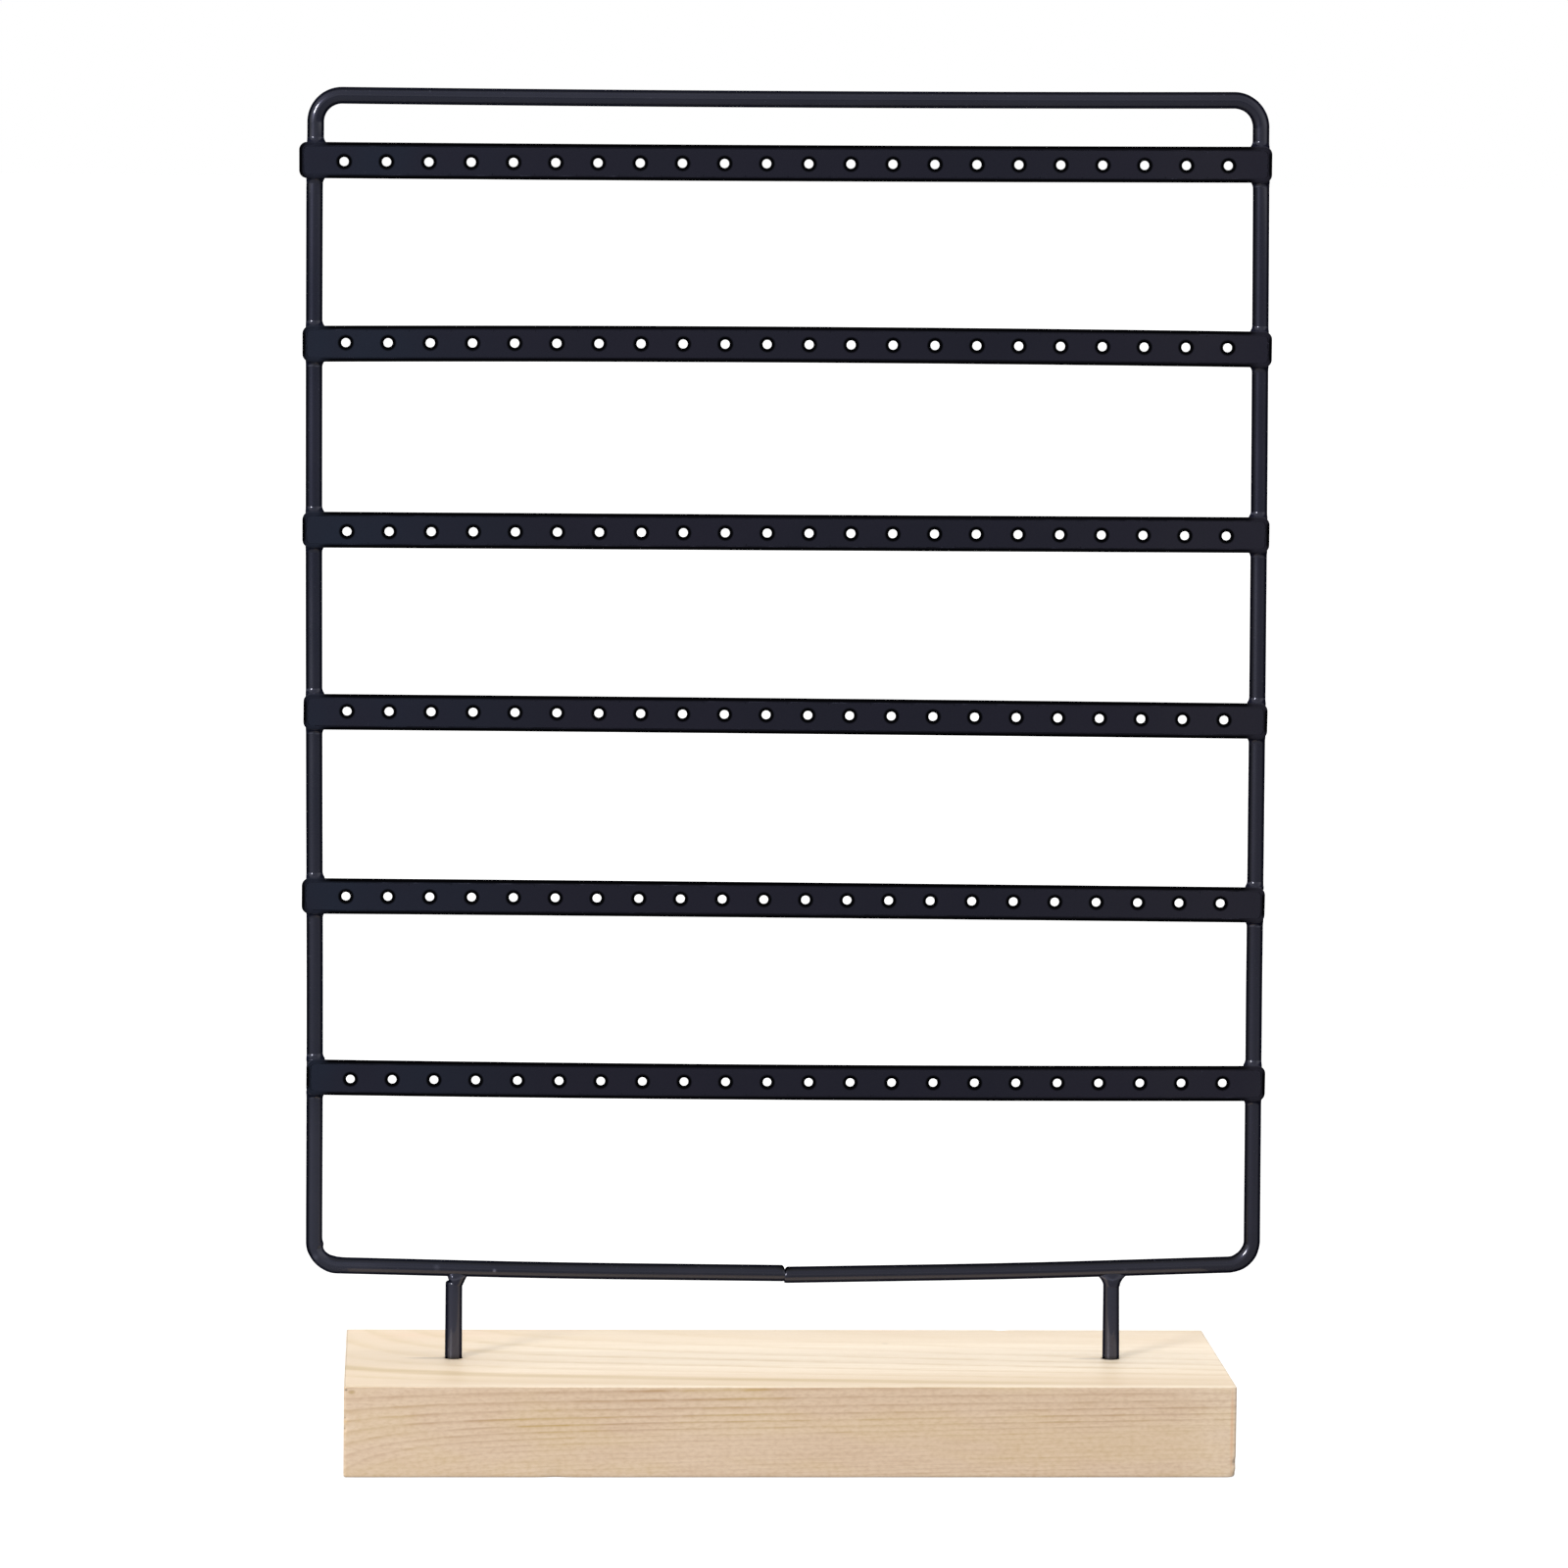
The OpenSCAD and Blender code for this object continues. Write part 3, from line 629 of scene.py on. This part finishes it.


# Loop: rings across the path, radius in the plane R (1 - pinch in the bends) and R across it. Both ends are
# rounded, more at the top than below, and meet in the butt joint. Marks raise the skin by h e^(-d^2).
# Painted shade darkens the coat on its left and upper sides and in the joint's gap, and it is darker along
# the bottom run.
def makeLoop(f, marks, material):
    path = spreadPath(loopPath(f), f, marks)
    r, lap, long = f["radius"], f["endLap"], f["endLong"]
    startDir = (path[1] - path[0]) / np.linalg.norm(path[1] - path[0])
    endDir = (path[-2] - path[-1]) / np.linalg.norm(path[-2] - path[-1])
    turn = np.radians(np.linspace(0, 90, 8))
    a = np.linspace(0, 2 * np.pi, f["around"], endpoint=False)

    # One rod end: rings lap - long (1 - sin t) past the tip, radius R - deep(a) (1 - cos t), then a point.
    def endRings(tip, inwards, forwards):
        normal = np.array([-forwards[1], forwards[0]])
        upwards = (np.cos(a) * normal[1] + 1) / 2
        deep = f["endLow"] + (f["endDeep"] - f["endLow"]) * upwards ** 4
        rings, places = [], []
        for t in turn:
            place = tip - inwards * (lap - long * (1 - np.sin(t)))
            size = r - deep * (1 - np.cos(t))
            rings.append(np.stack([place[0] + size * np.cos(a) * normal[0], -size * np.sin(a),
                                   place[1] + size * np.cos(a) * normal[1]], -1))
            places.append(place)
        rings.append(np.tile([places[-1][0], 0.0, places[-1][1]], (len(a), 1)))
        return np.array(rings), np.array(places + [places[-1]])

    head, headPlaces = endRings(path[0], startDir, startDir)
    tail, tailPlaces = endRings(path[-1], endDir, -endDir)
    clear = np.minimum(np.linalg.norm(path - path[0], axis=1), np.linalg.norm(path - path[-1], axis=1))
    body = path[clear > f["endClear"]]
    ahead = np.gradient(body, axis=0)
    ahead /= np.linalg.norm(ahead, axis=1, keepdims=True)
    normal = np.stack([-ahead[:, 1], ahead[:, 0]], 1)
    corners = np.array(f["corners"][2:6])
    bent = 1 - smoothStep(np.linalg.norm(body[:, None] - corners[None], axis=2), *f["pinchNear"])
    inPlane = (r * (1 - bent @ np.array(f["pinch"])))[:, None] * np.cos(a)
    tube = np.stack([body[:, :1] + inPlane * normal[:, :1], -r * np.sin(a) + 0 * inPlane,
                     body[:, 1:] + inPlane * normal[:, 1:]], -1)
    rings = np.concatenate([head[::-1], tube, tail])
    centre = np.concatenate([headPlaces[::-1], body, tailPlaces])
    points = rings.reshape(-1, 3)
    away = (rings - np.insert(centre, 1, 0.0, axis=1)[:, None]).reshape(-1, 3)
    away /= np.linalg.norm(away, axis=1, keepdims=True) + 1e-9
    # Painted shade on the sides that look left or up.
    tone = -f["sideShade"] * smoothStep(np.maximum(-away[:, 0], away[:, 2]), *f["sideRange"])
    for shade, inX, inZ in f["lowTones"]:
        tone += shade * smoothStep(points[:, 0], *inX) * smoothStep(points[:, 2], *inZ)
    for place, size, high, shade in marks:
        bump = bumpAt(points, place, size)
        points = points + away * (high * bump)[:, None]
        tone += shade * bump
    # Painted shade in the gap at the top of the butt joint.
    over = smoothStep(points[:, 2] - f["corners"][0][1], *f["seamUp"]) * (points[:, 2] < 60)
    tone -= f["seamShade"] * np.exp(-((points[:, 0] / f["seamWide"]) ** 2)) * over
    quads = gridQuads(len(rings), f["around"], wrapCols=True)
    return addPiece("rodLoop", points, quads, material, ["rod_loop"], np.clip(tone, -1, 1))


# Height of the bottom run's centre line over x, straight between the loop's corners.
def bottomRunAt(x):
    corner = np.array(loopForm["corners"])
    line = corner[[2, 1, 0]] if x < 0 else corner[[7, 6, 5]]
    return float(np.interp(x, line[:, 0], line[:, 1]))


# An upright's centre line between its bends, as x and z from low to high.
def uprightLine(side):
    run = loopPath(loopForm)
    run = run[(run[:, 0] * side > 100) & (run[:, 1] > 56) & (run[:, 1] < 341)]
    return run[np.argsort(run[:, 1])]


uprightLines = {side: uprightLine(side) for side in (left, right)}


# x of that line at height z.
def uprightAt(side, z):
    line = uprightLines[side]
    return np.interp(z, line[:, 1], line[:, 0])


legForm = {
    "at": {left: -85.75, right: 85.3},
    "topRadius": {left: 2.17, right: 2.09}, "footRadius": {left: 2.21, right: 2.19},
    "lean": {left: 0.0, right: -0.2},   # mm to the right, from the block to its top
    "foot": 8.9, "blockTop": 23.4, "gap": 1.2, "round": 0.6, "around": 56,
    "coat": 0.08,       # tone, a little lighter than the loop's
    "sideShade": 0.4, "sideRange": (0.55, 0.75),     # painted shade on its left side, from and to this share
    "footShade": 0.88, "footRange": (0.1, 1.0),      # painted shade inside the bore and just over the block, ending from and to mm up
}


# A lathed surface: profile (r, z) turned about an upright axis at (x, 0).
def lathe(profile, x, around):
    a = np.linspace(0, 2 * np.pi, around, endpoint=False)
    r, z = profile[:, :1], profile[:, 1:]
    return np.stack([x + r * np.cos(a), r * np.sin(a), z * np.ones_like(r * a)], -1)


# Leg: radius grows from topRadius to footRadius at the block, and both sawn ends have a small round.
# Painted shade darkens the coat inside the bore, just over the block and on the left side.
def makeLeg(f, side, material):
    name, node = ("leftLeg", "left_leg") if side == left else ("rightLeg", "right_leg")
    at, topRadius, footRadius = f["at"][side], f["topRadius"][side], f["footRadius"][side]
    top = bottomRunAt(at) - loopForm["radius"] - f["gap"]
    turn = np.radians(np.linspace(0, 90, 6))
    zs = np.linspace(f["foot"] + f["round"], top - f["round"], 60)
    r = topRadius + (footRadius - topRadius) * smoothStep(zs, top, f["blockTop"])
    bySine, byCosine = f["round"] * (1 - np.sin(turn)), f["round"] * (1 - np.cos(turn))
    low = np.column_stack([r[0] - bySine, f["foot"] + byCosine])
    high = np.column_stack([r[-1] - byCosine, top - bySine])
    profile = np.concatenate([[[0, f["foot"]]], low, np.column_stack([r, zs])[1:-1], high, [[0, top]]])
    points = lathe(profile, at, f["around"]).reshape(-1, 3)
    points[:, 0] += f["lean"][side] * ((points[:, 2] - f["blockTop"]) / (top - f["blockTop"]) - 0.5)
    # Painted shade inside the bore, just over the block, and on the left side.
    tone = f["coat"] - f["footShade"] * (1 - smoothStep(points[:, 2] - f["blockTop"], *f["footRange"]))
    leftwards = -np.cos(np.linspace(0, 2 * np.pi, f["around"], endpoint=False))
    tone -= f["sideShade"] * np.tile(smoothStep(leftwards, *f["sideRange"]), len(profile))
    quads = gridQuads(len(profile), f["around"], wrapCols=True)
    return addPiece(name, points, quads, material, [node], tone)


legWeldForm = {
    # drop below the rod's underside, and there the reach to the left and right and the half depth, in mm
    "drop": (-1.2, -0.3, 0.0, 0.43, 0.93, 1.43, 1.93, 2.6),
    "leftReach": {left: (2.3, 1.85, 1.7, 1.55, 1.4, 1.1, 0.85, 0.6),
                  right: (4.3, 3.8, 3.5, 3.1, 2.7, 2.45, 2.25, 2.1)},
    "rightReach": {left: (4.3, 3.75, 3.45, 3.15, 2.9, 2.68, 2.45, 2.15),
                   right: (4.3, 3.8, 3.5, 3.1, 2.7, 2.45, 2.25, 2.1)},
    "depth": (1.75, 2.0, 2.1, 2.14, 2.16, 2.17, 2.17, 2.12),
    "around": 56, "rows": 41,
    # the lighter line where it meets the rod: tone, mm down, half width, and how much it climbs outwards
    "toe": 0.3, "toeDown": 0.6, "toeWide": 0.28, "toeClimb": 0.25,
}


# Leg weld: at each level an oval whose half width is leftReach or rightReach and whose half depth is depth.
# A faint lighter line runs where it meets the rod.
def makeLegWeld(f, side, material):
    at = legForm["at"][side]
    under = bottomRunAt(at) - loopForm["radius"]
    drop = np.linspace(f["drop"][0], f["drop"][-1], f["rows"])
    toLeft, toRight, deep = (np.interp(drop, f["drop"], v) for v in
                             (f["leftReach"][side], f["rightReach"][side], f["depth"]))
    a = np.linspace(0, 2 * np.pi, f["around"], endpoint=False)
    reach = np.where(np.cos(a) < 0, toLeft[:, None], toRight[:, None])
    z = under - drop[:, None] * np.ones_like(a)
    rings = np.stack([at + reach * np.cos(a), deep[:, None] * np.sin(a), z], -1)
    ends = [np.tile([at, 0, z[k, 0]], (1, len(a), 1)) for k in (0, -1)]
    rings = np.concatenate([ends[0], rings, ends[1]])
    points = rings.reshape(-1, 3)
    climb = points[:, 2] - under - f["toeClimb"] * np.abs(points[:, 0] - at)
    tone = f["toe"] * np.exp(-((climb + f["toeDown"]) / f["toeWide"]) ** 2)
    quads = gridQuads(len(rings), len(a), wrapCols=True)
    name, node = ("leftLegWeld", "left_leg_weld") if side == left else ("rightLegWeld", "right_leg_weld")
    return addPiece(name, points, quads, material, [node], tone)


stripForm = {
    "length": 248.4, "height": 9.2, "thick": 1.0, "corner": 2.0, "edge": 0.3,
    "holes": 22, "pitch": 10.751, "holeEdge": 0.26,
    "back": -2.1,     # y of the back face, on the rods
    "rimWide": 0.8, "rimShade": 1.0,     # painted shade: a dark border along the edges and round the holes
    "rimFade": (0.45, 1.05),            # shares of its width between which it ends
    "weldWide": 2.4, "weldCover": 0.8,  # half width over which a weld covers that border, and how much
    "weldDeep": (-2.2, -1.4),           # and from and to how far past the long edge, negative is inside
    "cellSteps": 8, "endSteps": 8, "arcSteps": 8,
    # hand fit of each strip: middle as x and z, tilt in degrees down to the right, bow in mm
    "x": (-2.533, -1.904, -1.385, -1.155, -1.224, 0.144),
    "z": (332.84, 286.45, 238.49, 191.20, 143.54, 96.27),
    "tilt": (-0.313, -0.168, -0.101, 0.225, 0.290, 0.206),
    "bow": (0.173, -0.424, 0.029, -0.086, -0.082, 0.419),
    # the punched row: height over the middle, tilt and bow of its own, and the holes' radius
    "rowUp": (-0.186, 0.114, -0.222, 0.239, 0.133, 0.0),
    "rowTilt": (-0.323, -0.180, -0.134, 0.232, 0.203, 0.085),
    "rowBow": (0.031, -0.152, -0.138, -0.138, -0.018, 0.280),
    "holeRadius": (1.17, 1.16, 1.15, 1.14, 1.125, 1.105),
    # how far the strip runs on past its even length at either end
    "endLeft": (0.09, -0.27, 0.08, -0.15, 0.03, 0.04), "endRight": (-0.05, 0.14, -0.14, 0.0, 0.27, -0.18),
    "endRange": (115.0, 123.0),
    "waver": 0.05, "waverLong": 37.0, "waverRange": (115.0, 100.0),     # how far it weaves in and out
}


# Shape of a strip's bow over x, about its own middle height.
def bowAt(x):
    return (x / 110) ** 2 - 1 / 3


# One strip, flat in x and z round the origin, front at -thick. Each hole has a cell of the face. A rounded
# profile is carried round every hole and the outline, inwards by e (1 - sin a) and back by e (1 - cos a).
# centres holds the holes' middles. Returns points, quads and the share of painted edge shade at each point.
def stripShell(f, centres, r):
    half, tall, e, t = f["length"] / 2, f["height"] / 2, f["edge"], f["thick"]
    seams = (np.arange(1, f["holes"]) - f["holes"] / 2) * f["pitch"]
    knots = np.concatenate([[-(half - f["corner"])], seams, [half - f["corner"]]])
    shares = np.arange(f["cellSteps"]) / f["cellSteps"]
    xs = np.append((knots[:-1, None] + np.diff(knots)[:, None] * shares).ravel(), knots[-1])
    outline, normals = roundedOutline(half, tall, f["corner"], xs, f["endSteps"], f["arcSteps"])
    turn = np.radians(np.linspace(0, 90, 6))
    border = e + f["rimWide"]
    rim = outline - normals * border

    def ring(flat, y):
        return np.column_stack([flat[:, 0], np.full(len(flat), y), flat[:, 1]])

    insets = [e + f["rimWide"] * s for s in (1.0, 0.75, 0.5, 0.25)]
    edgeRows = [ring(outline - normals * inset, -t) for inset in insets]
    edgeRows += [ring(outline - normals * e * (1 - np.sin(a)), -t + e * (1 - np.cos(a))) for a in turn]
    edgeRows += [ring(outline - normals * e * (1 - np.sin(a)), -e * (1 - np.cos(a))) for a in turn[::-1]]
    edgeRows.append(ring(rim, 0.0))
    parts = [(np.concatenate(edgeRows), gridQuads(len(edgeRows), len(outline), wrapCols=True))]

    # Each cell's boundary: its slice of the rim, the seam on its right, the far slice, the other seam.
    n, longSide = f["cellSteps"], len(xs)
    farStart = longSide + (f["arcSteps"] - 1) + (f["endSteps"] + 1) + (f["arcSteps"] - 1)
    seamZ = np.linspace(-(tall - border), tall - border, n + 1)[1:-1]
    up = lambda x: np.column_stack([np.full(len(seamZ), x), seamZ])
    he = f["holeEdge"]
    outer = r + he + f["rimWide"]
    toHole = np.array([0, 0.03, 0.35, 0.7, 0.96, 1.0])
    for k in range(f["holes"]):
        near = rim[k * n: (k + 1) * n + 1]
        far = rim[farStart + longSide - 1 - (k + 1) * n: farStart + longSide - k * n]
        if k == 0:
            boundary = np.concatenate([near, up(seams[0]), far, rim[farStart + longSide:]])
        elif k == f["holes"] - 1:
            boundary = np.concatenate([near, rim[longSide:farStart], far, up(seams[-1])[::-1]])
        else:
            boundary = np.concatenate([near, up(seams[k]), far, up(seams[k - 1])[::-1]])
        circle = lambda radius: faceToHole(boundary, centres[k], radius, [1.0])[0]
        flats = list(faceToHole(boundary, centres[k], outer, toHole))
        flats += [circle(r + he + f["rimWide"] * s) for s in (0.75, 0.5, 0.25, 0.0)]
        mouth = [circle(r + he * (1 - np.sin(a))) for a in turn]
        rows = [ring(b, -t) for b in flats]
        rows += [ring(m, -t + he * (1 - np.cos(a))) for m, a in zip(mouth[1:], turn[1:])]
        rows += [ring(m, -he * (1 - np.cos(a))) for m, a in zip(mouth[::-1], turn[::-1])]
        rows += [ring(b, 0.0) for b in flats[-2::-1]]
        parts.append((np.concatenate(rows), gridQuads(len(rows), len(boundary), wrapCols=True)))
    points, quads = joinShells(parts)

    # Distance inside the rounded outline, and from the nearest hole's wall.
    q = np.abs(points[:, [0, 2]]) - np.array([half - f["corner"], tall - f["corner"]])
    inside = f["corner"] - np.linalg.norm(np.maximum(q, 0), axis=1) - np.minimum(q.max(1), 0)
    toWall = np.linalg.norm(points[:, None, [0, 2]] - centres[None], axis=2).min(1) - r
    close = 1 - smoothStep(np.minimum(inside - e, toWall - he) / f["rimWide"], *f["rimFade"])
    return points, quads, close


# Places a strip: its holes lie on the row's own bowed and tilted line, its edges are bowed by
# bow ((x / 110)^2 - 1/3), and it is turned by its tilt and moved to its middle. The painted shade along the
# border is weaker where the welds cover it.
def makeStrip(f, i, material):
    along = (np.arange(f["holes"]) - (f["holes"] - 1) / 2) * f["pitch"]
    row = f["rowUp"][i] - np.radians(f["rowTilt"][i] - f["tilt"][i]) * along
    row += (f["rowBow"][i] - f["bow"][i]) * bowAt(along)
    points, quads, rim = stripShell(f, np.column_stack([along, row]), f["holeRadius"][i])
    x = points[:, 0].copy()
    byEdge = smoothStep(np.abs(points[:, 2]) - f["height"] / 2, *f["weldDeep"])
    for side in (left, right):
        away = x + f["x"][i] - uprightAt(side, f["z"][i])
        rim = rim * (1 - f["weldCover"] * byEdge * np.exp(-((away / f["weldWide"]) ** 4)))
    points[:, 2] += f["bow"][i] * bowAt(x)
    waver = np.sin(x / f["waverLong"] + 2.4 * i) * smoothStep(np.abs(x), *f["waverRange"])
    points[:, 1] += f["waver"] * waver
    past = smoothStep(np.abs(x), *f["endRange"])
    points[:, 0] += past * np.where(x > 0, f["endRight"][i], -f["endLeft"][i])
    turn = np.radians(f["tilt"][i])
    placed = np.stack([points[:, 0] * np.cos(turn) + points[:, 2] * np.sin(turn) + f["x"][i],
                       points[:, 1] + f["back"],
                       points[:, 2] * np.cos(turn) - points[:, 0] * np.sin(turn) + f["z"][i]], 1)
    # Painted shade: a dark border along the edges and round the holes.
    tone = -f["rimShade"] * rim
    return addPiece(f"strip{i + 1}", placed, quads, material, [f"strip_{i + 1}"], tone)


# Height of a strip's long edge over x, above its middle for way = 1 and below for way = -1.
def stripEdgeAt(f, i, x, way):
    along = x - f["x"][i]
    middle = f["z"][i] - np.tan(np.radians(f["tilt"][i])) * along + f["bow"][i] * bowAt(along)
    return middle + way * f["height"] / 2


weldForm = {
    "rise": 1.35,       # climb along the upright
    "front": 0.82,      # stand off the rod at the strip, to the front
    "inner": 0.50,      # reach beside the rod, towards the inside of the loop
    "outer": 0.06,      # the same, towards the outside
    "curve": (1.6, 0.7),    # power by which the front falls off round the rod, outwards and inwards
    "thin": 1.9,        # power by which it thins as it climbs
    "sink": 0.7,        # how deep it starts inside the strip
    "lip": 0.03,        # how far its last ring dips into the rod
    "behind": 0.12,     # how deep its back lies in the rod
    "around": 60, "levels": 20,
    "toeAt": 0.72, "toeSwing": 0.14, "toeWide": 0.13,   # painted glint on its toe: place in t, swing and half width
    "speck": 0.6,       # how light that painted glint is, at its strongest
}


# Strip weld: a skin on the rod round its front. Radius = rod + reach(a) (1 - t)^thin, with t from 0 at the
# strip's edge to 1 at the end of the weld. Painted glints show on its toe as short lighter strokes near t =
# toeAt.
def makeStripWelds(f, i, material):
    parts, tones = [], []
    a = np.radians(np.linspace(0, 360, f["around"], endpoint=False))     # 0 is the front
    t = np.concatenate([[0.0, 0.0], np.linspace(0, 1, f["levels"])[1:]])
    for side in (left, right):
        for way in (1, -1):
            middle = uprightAt(side, stripForm["z"][i])
            edge = stripEdgeAt(stripForm, i, middle, way)
            inwards = np.clip(np.sin(a) * side * -1, 0, 1)
            outwards = np.clip(np.sin(a) * side, 0, 1)
            reach = f["front"] * np.clip(np.cos(a), 0, 1) ** np.where(outwards > 0, *f["curve"])
            reach = np.maximum(reach, f["inner"] * inwards ** 2 * (np.cos(a) > -0.3))
            reach = np.maximum(reach, f["outer"] * outwards)
            thin = (1 - t[:, None]) ** f["thin"]
            radius = loopForm["radius"] + reach * thin - f["lip"] * (t[:, None] > 0.99)
            radius = np.where((np.cos(a) < -0.35)[None, :], loopForm["radius"] - f["behind"], radius)
            climb = np.concatenate([[-f["sink"]], f["rise"] * t[1:]])[:, None]
            z = edge + way * climb * np.ones_like(a)
            rings = np.stack([uprightAt(side, z) + radius * np.sin(a), -radius * np.cos(a), z], -1)
            ends = [np.tile([uprightAt(side, z[k, 0]), 0, z[k, 0]], (1, len(a), 1)) for k in (0, -1)]
            rings = np.concatenate([ends[0], rings, ends[1]])
            seed = 3.1 * i + 1.7 * side + 0.9 * way
            stroke = np.clip(np.sin(2.3 * a + seed), 0, 1) ** 3 * (np.cos(a) > 0.1)
            away = t[:, None] - f["toeAt"] - f["toeSwing"] * np.sin(1.5 * a + seed)
            line = np.exp(-((away / f["toeWide"]) ** 2)) * stroke
            level = f["speck"] * (0.35 + 0.65 * np.abs(np.sin(2.7 * seed)))
            tones.append(np.concatenate([0 * a[None], level * line, 0 * a[None]]).ravel())
            quads = gridQuads(len(rings), len(a), wrapCols=True)
            parts.append((rings.reshape(-1, 3), quads[:, ::way]))
    points, quads = joinShells(parts)
    tone, node = np.concatenate(tones), f"strip_{i + 1}_welds"
    return addPiece(f"strip{i + 1}Welds", points, quads, material, [node], tone)


# The strips are duller and a little lighter than the rods, and have no smooth top coat.
stripLook = {
    **paintLook,
    "leftColour": (0.0133, 0.0180, 0.0302), "leftFade": (-0.12, -0.06),
    "midColour": (0.0133, 0.0135, 0.0210), "rightFade": (0.05, 0.11),
    "rightColour": (0.0188, 0.0180, 0.0256),
    "other": (0.0140, 0.0130, 0.0215),
    "roughness": (0.36, 0.46), "specular": 0.20, "grazing": (0.50, 0.85), "lacquer": (0.0, 0.1),
    "dust": 0.0,
}

rodPaint = paintMaterial("rodPaint", paintLook)
stripPaint = paintMaterial("stripPaint", stripLook)
pine = woodMaterial("pine", woodLook, blockForm["size"])
print("materials made")

makeBlock(blockForm, pine)
makeLoop(loopForm, loopMarks, rodPaint)
for side in (left, right):
    makeLeg(legForm, side, rodPaint)
    makeLegWeld(legWeldForm, side, rodPaint)
for i in range(6):
    makeStrip(stripForm, i, stripPaint)
    makeStripWelds(weldForm, i, rodPaint)
print("pieces made")

studio = {
    "floorSize": 40.0, "floorColour": (0.25, 0.25, 0.25),
    "floorGlow": (0.88, 1.10),      # near the stand and far from it
    "glowReach": (0.2, 0.9),        # m, from where to where the glow rises
    "world": 0.60,                  # as seen by diffuse rays
    # as seen by glossy rays: in front of the stand, on both sides and behind it
    "worldGloss": {"front": 0.50, "sides": 0.90, "behind": 0.95},
    "sidesAt": (0.3, 0.8), "behindAt": (-0.2, 0.7),     # directions at which those start and are full
    "upperGloss": 0.78, "upperAt": (0.05, 0.45),        # share of that which is left high up, and where
    # lamps as place, size and power in watts. All point at the stand.
    "lamps": {
        "key": ((-1.76, -2.13, 1.12), 0.60, 44.5),
        "top": ((-0.05, 0.10, 1.50), 1.3, 14.1),
    },
    "aim": (0.0, 0.0, 0.12),
    "unseen": "top",        # this lamp shows in no reflection
}


# Floor: diffuse, and for camera rays a glow is added, so that it is white and keeps the shadow. The world
# is white to the camera and softer to diffuse rays. Glossy rays see it darker in front than on the sides
# and behind, and a little darker high up.
def makeStudio(s):
    half = s["floorSize"] / 2
    corners = [(-half, -half, 0), (half, -half, 0), (half, half, 0), (-half, half, 0)]
    mesh = bpy.data.meshes.new("studioFloor")
    mesh.from_pydata(corners, [], [(0, 1, 2, 3)])
    floor = bpy.data.objects.new("studioFloor", mesh)
    scene.collection.objects.link(floor)
    material, tree, shader = newMaterial("studioFloor")
    shader.inputs["Base Color"].default_value = (*s["floorColour"], 1)
    shader.inputs["Roughness"].default_value = 0.9
    shader.inputs["Specular IOR Level"].default_value = 0.0
    shader.inputs["Emission Color"].default_value = (1, 1, 1, 1)
    light = tree.nodes.new("ShaderNodeLightPath")
    place = tree.nodes.new("ShaderNodeTexCoord")
    away = addNode(tree, "ShaderNodeVectorMath", operation="LENGTH")
    tree.links.new(place.outputs["Object"], away.inputs[0])
    glow = rangeOf(tree, away.outputs["Value"], *s["glowReach"], *s["floorGlow"], smooth=True)
    glow = productOf(tree, light.outputs["Is Camera Ray"], glow)
    tree.links.new(glow, shader.inputs["Emission Strength"])
    mesh.materials.append(material)

    world = bpy.data.worlds.new("studio")
    scene.world = world
    world.use_nodes = True
    tree = world.node_tree
    background = tree.nodes["Background"]
    background.inputs["Color"].default_value = (1, 1, 1, 1)
    light = tree.nodes.new("ShaderNodeLightPath")
    x, y, z = axesOf(tree, "Generated")
    shades, x = s["worldGloss"], mathNode(tree, "ABSOLUTE", x)
    sides = rangeOf(tree, x, *s["sidesAt"], shades["front"], shades["sides"], smooth=True)
    behind = rangeOf(tree, y, *s["behindAt"], shades["front"], shades["behind"], smooth=True)
    upper = rangeOf(tree, z, *s["upperAt"], 1.0, s["upperGloss"], smooth=True)
    gloss = productOf(tree, mathNode(tree, "MAXIMUM", sides, behind), upper)
    seen = productOf(tree, light.outputs["Is Glossy Ray"], sumOf(tree, gloss, -s["world"]))
    seen = sumOf(tree, seen, s["world"])
    rest = productOf(tree, light.outputs["Is Camera Ray"], mathNode(tree, "SUBTRACT", 1.0, seen))
    tree.links.new(sumOf(tree, seen, rest), background.inputs["Strength"])

    for name, (place, size, power) in s["lamps"].items():
        data = bpy.data.lights.new(name, "AREA")
        data.shape, data.size, data.energy = "SQUARE", size, power
        lamp = bpy.data.objects.new(name, data)
        lamp.location = place
        lamp.rotation_euler = (Vector(place) - Vector(s["aim"])).to_track_quat("Z", "Y").to_euler()
        lamp.visible_glossy = name != s["unseen"]
        scene.collection.objects.link(lamp)
    scene.view_settings.view_transform = "Standard"
    print("studio made")


makeStudio(studio)
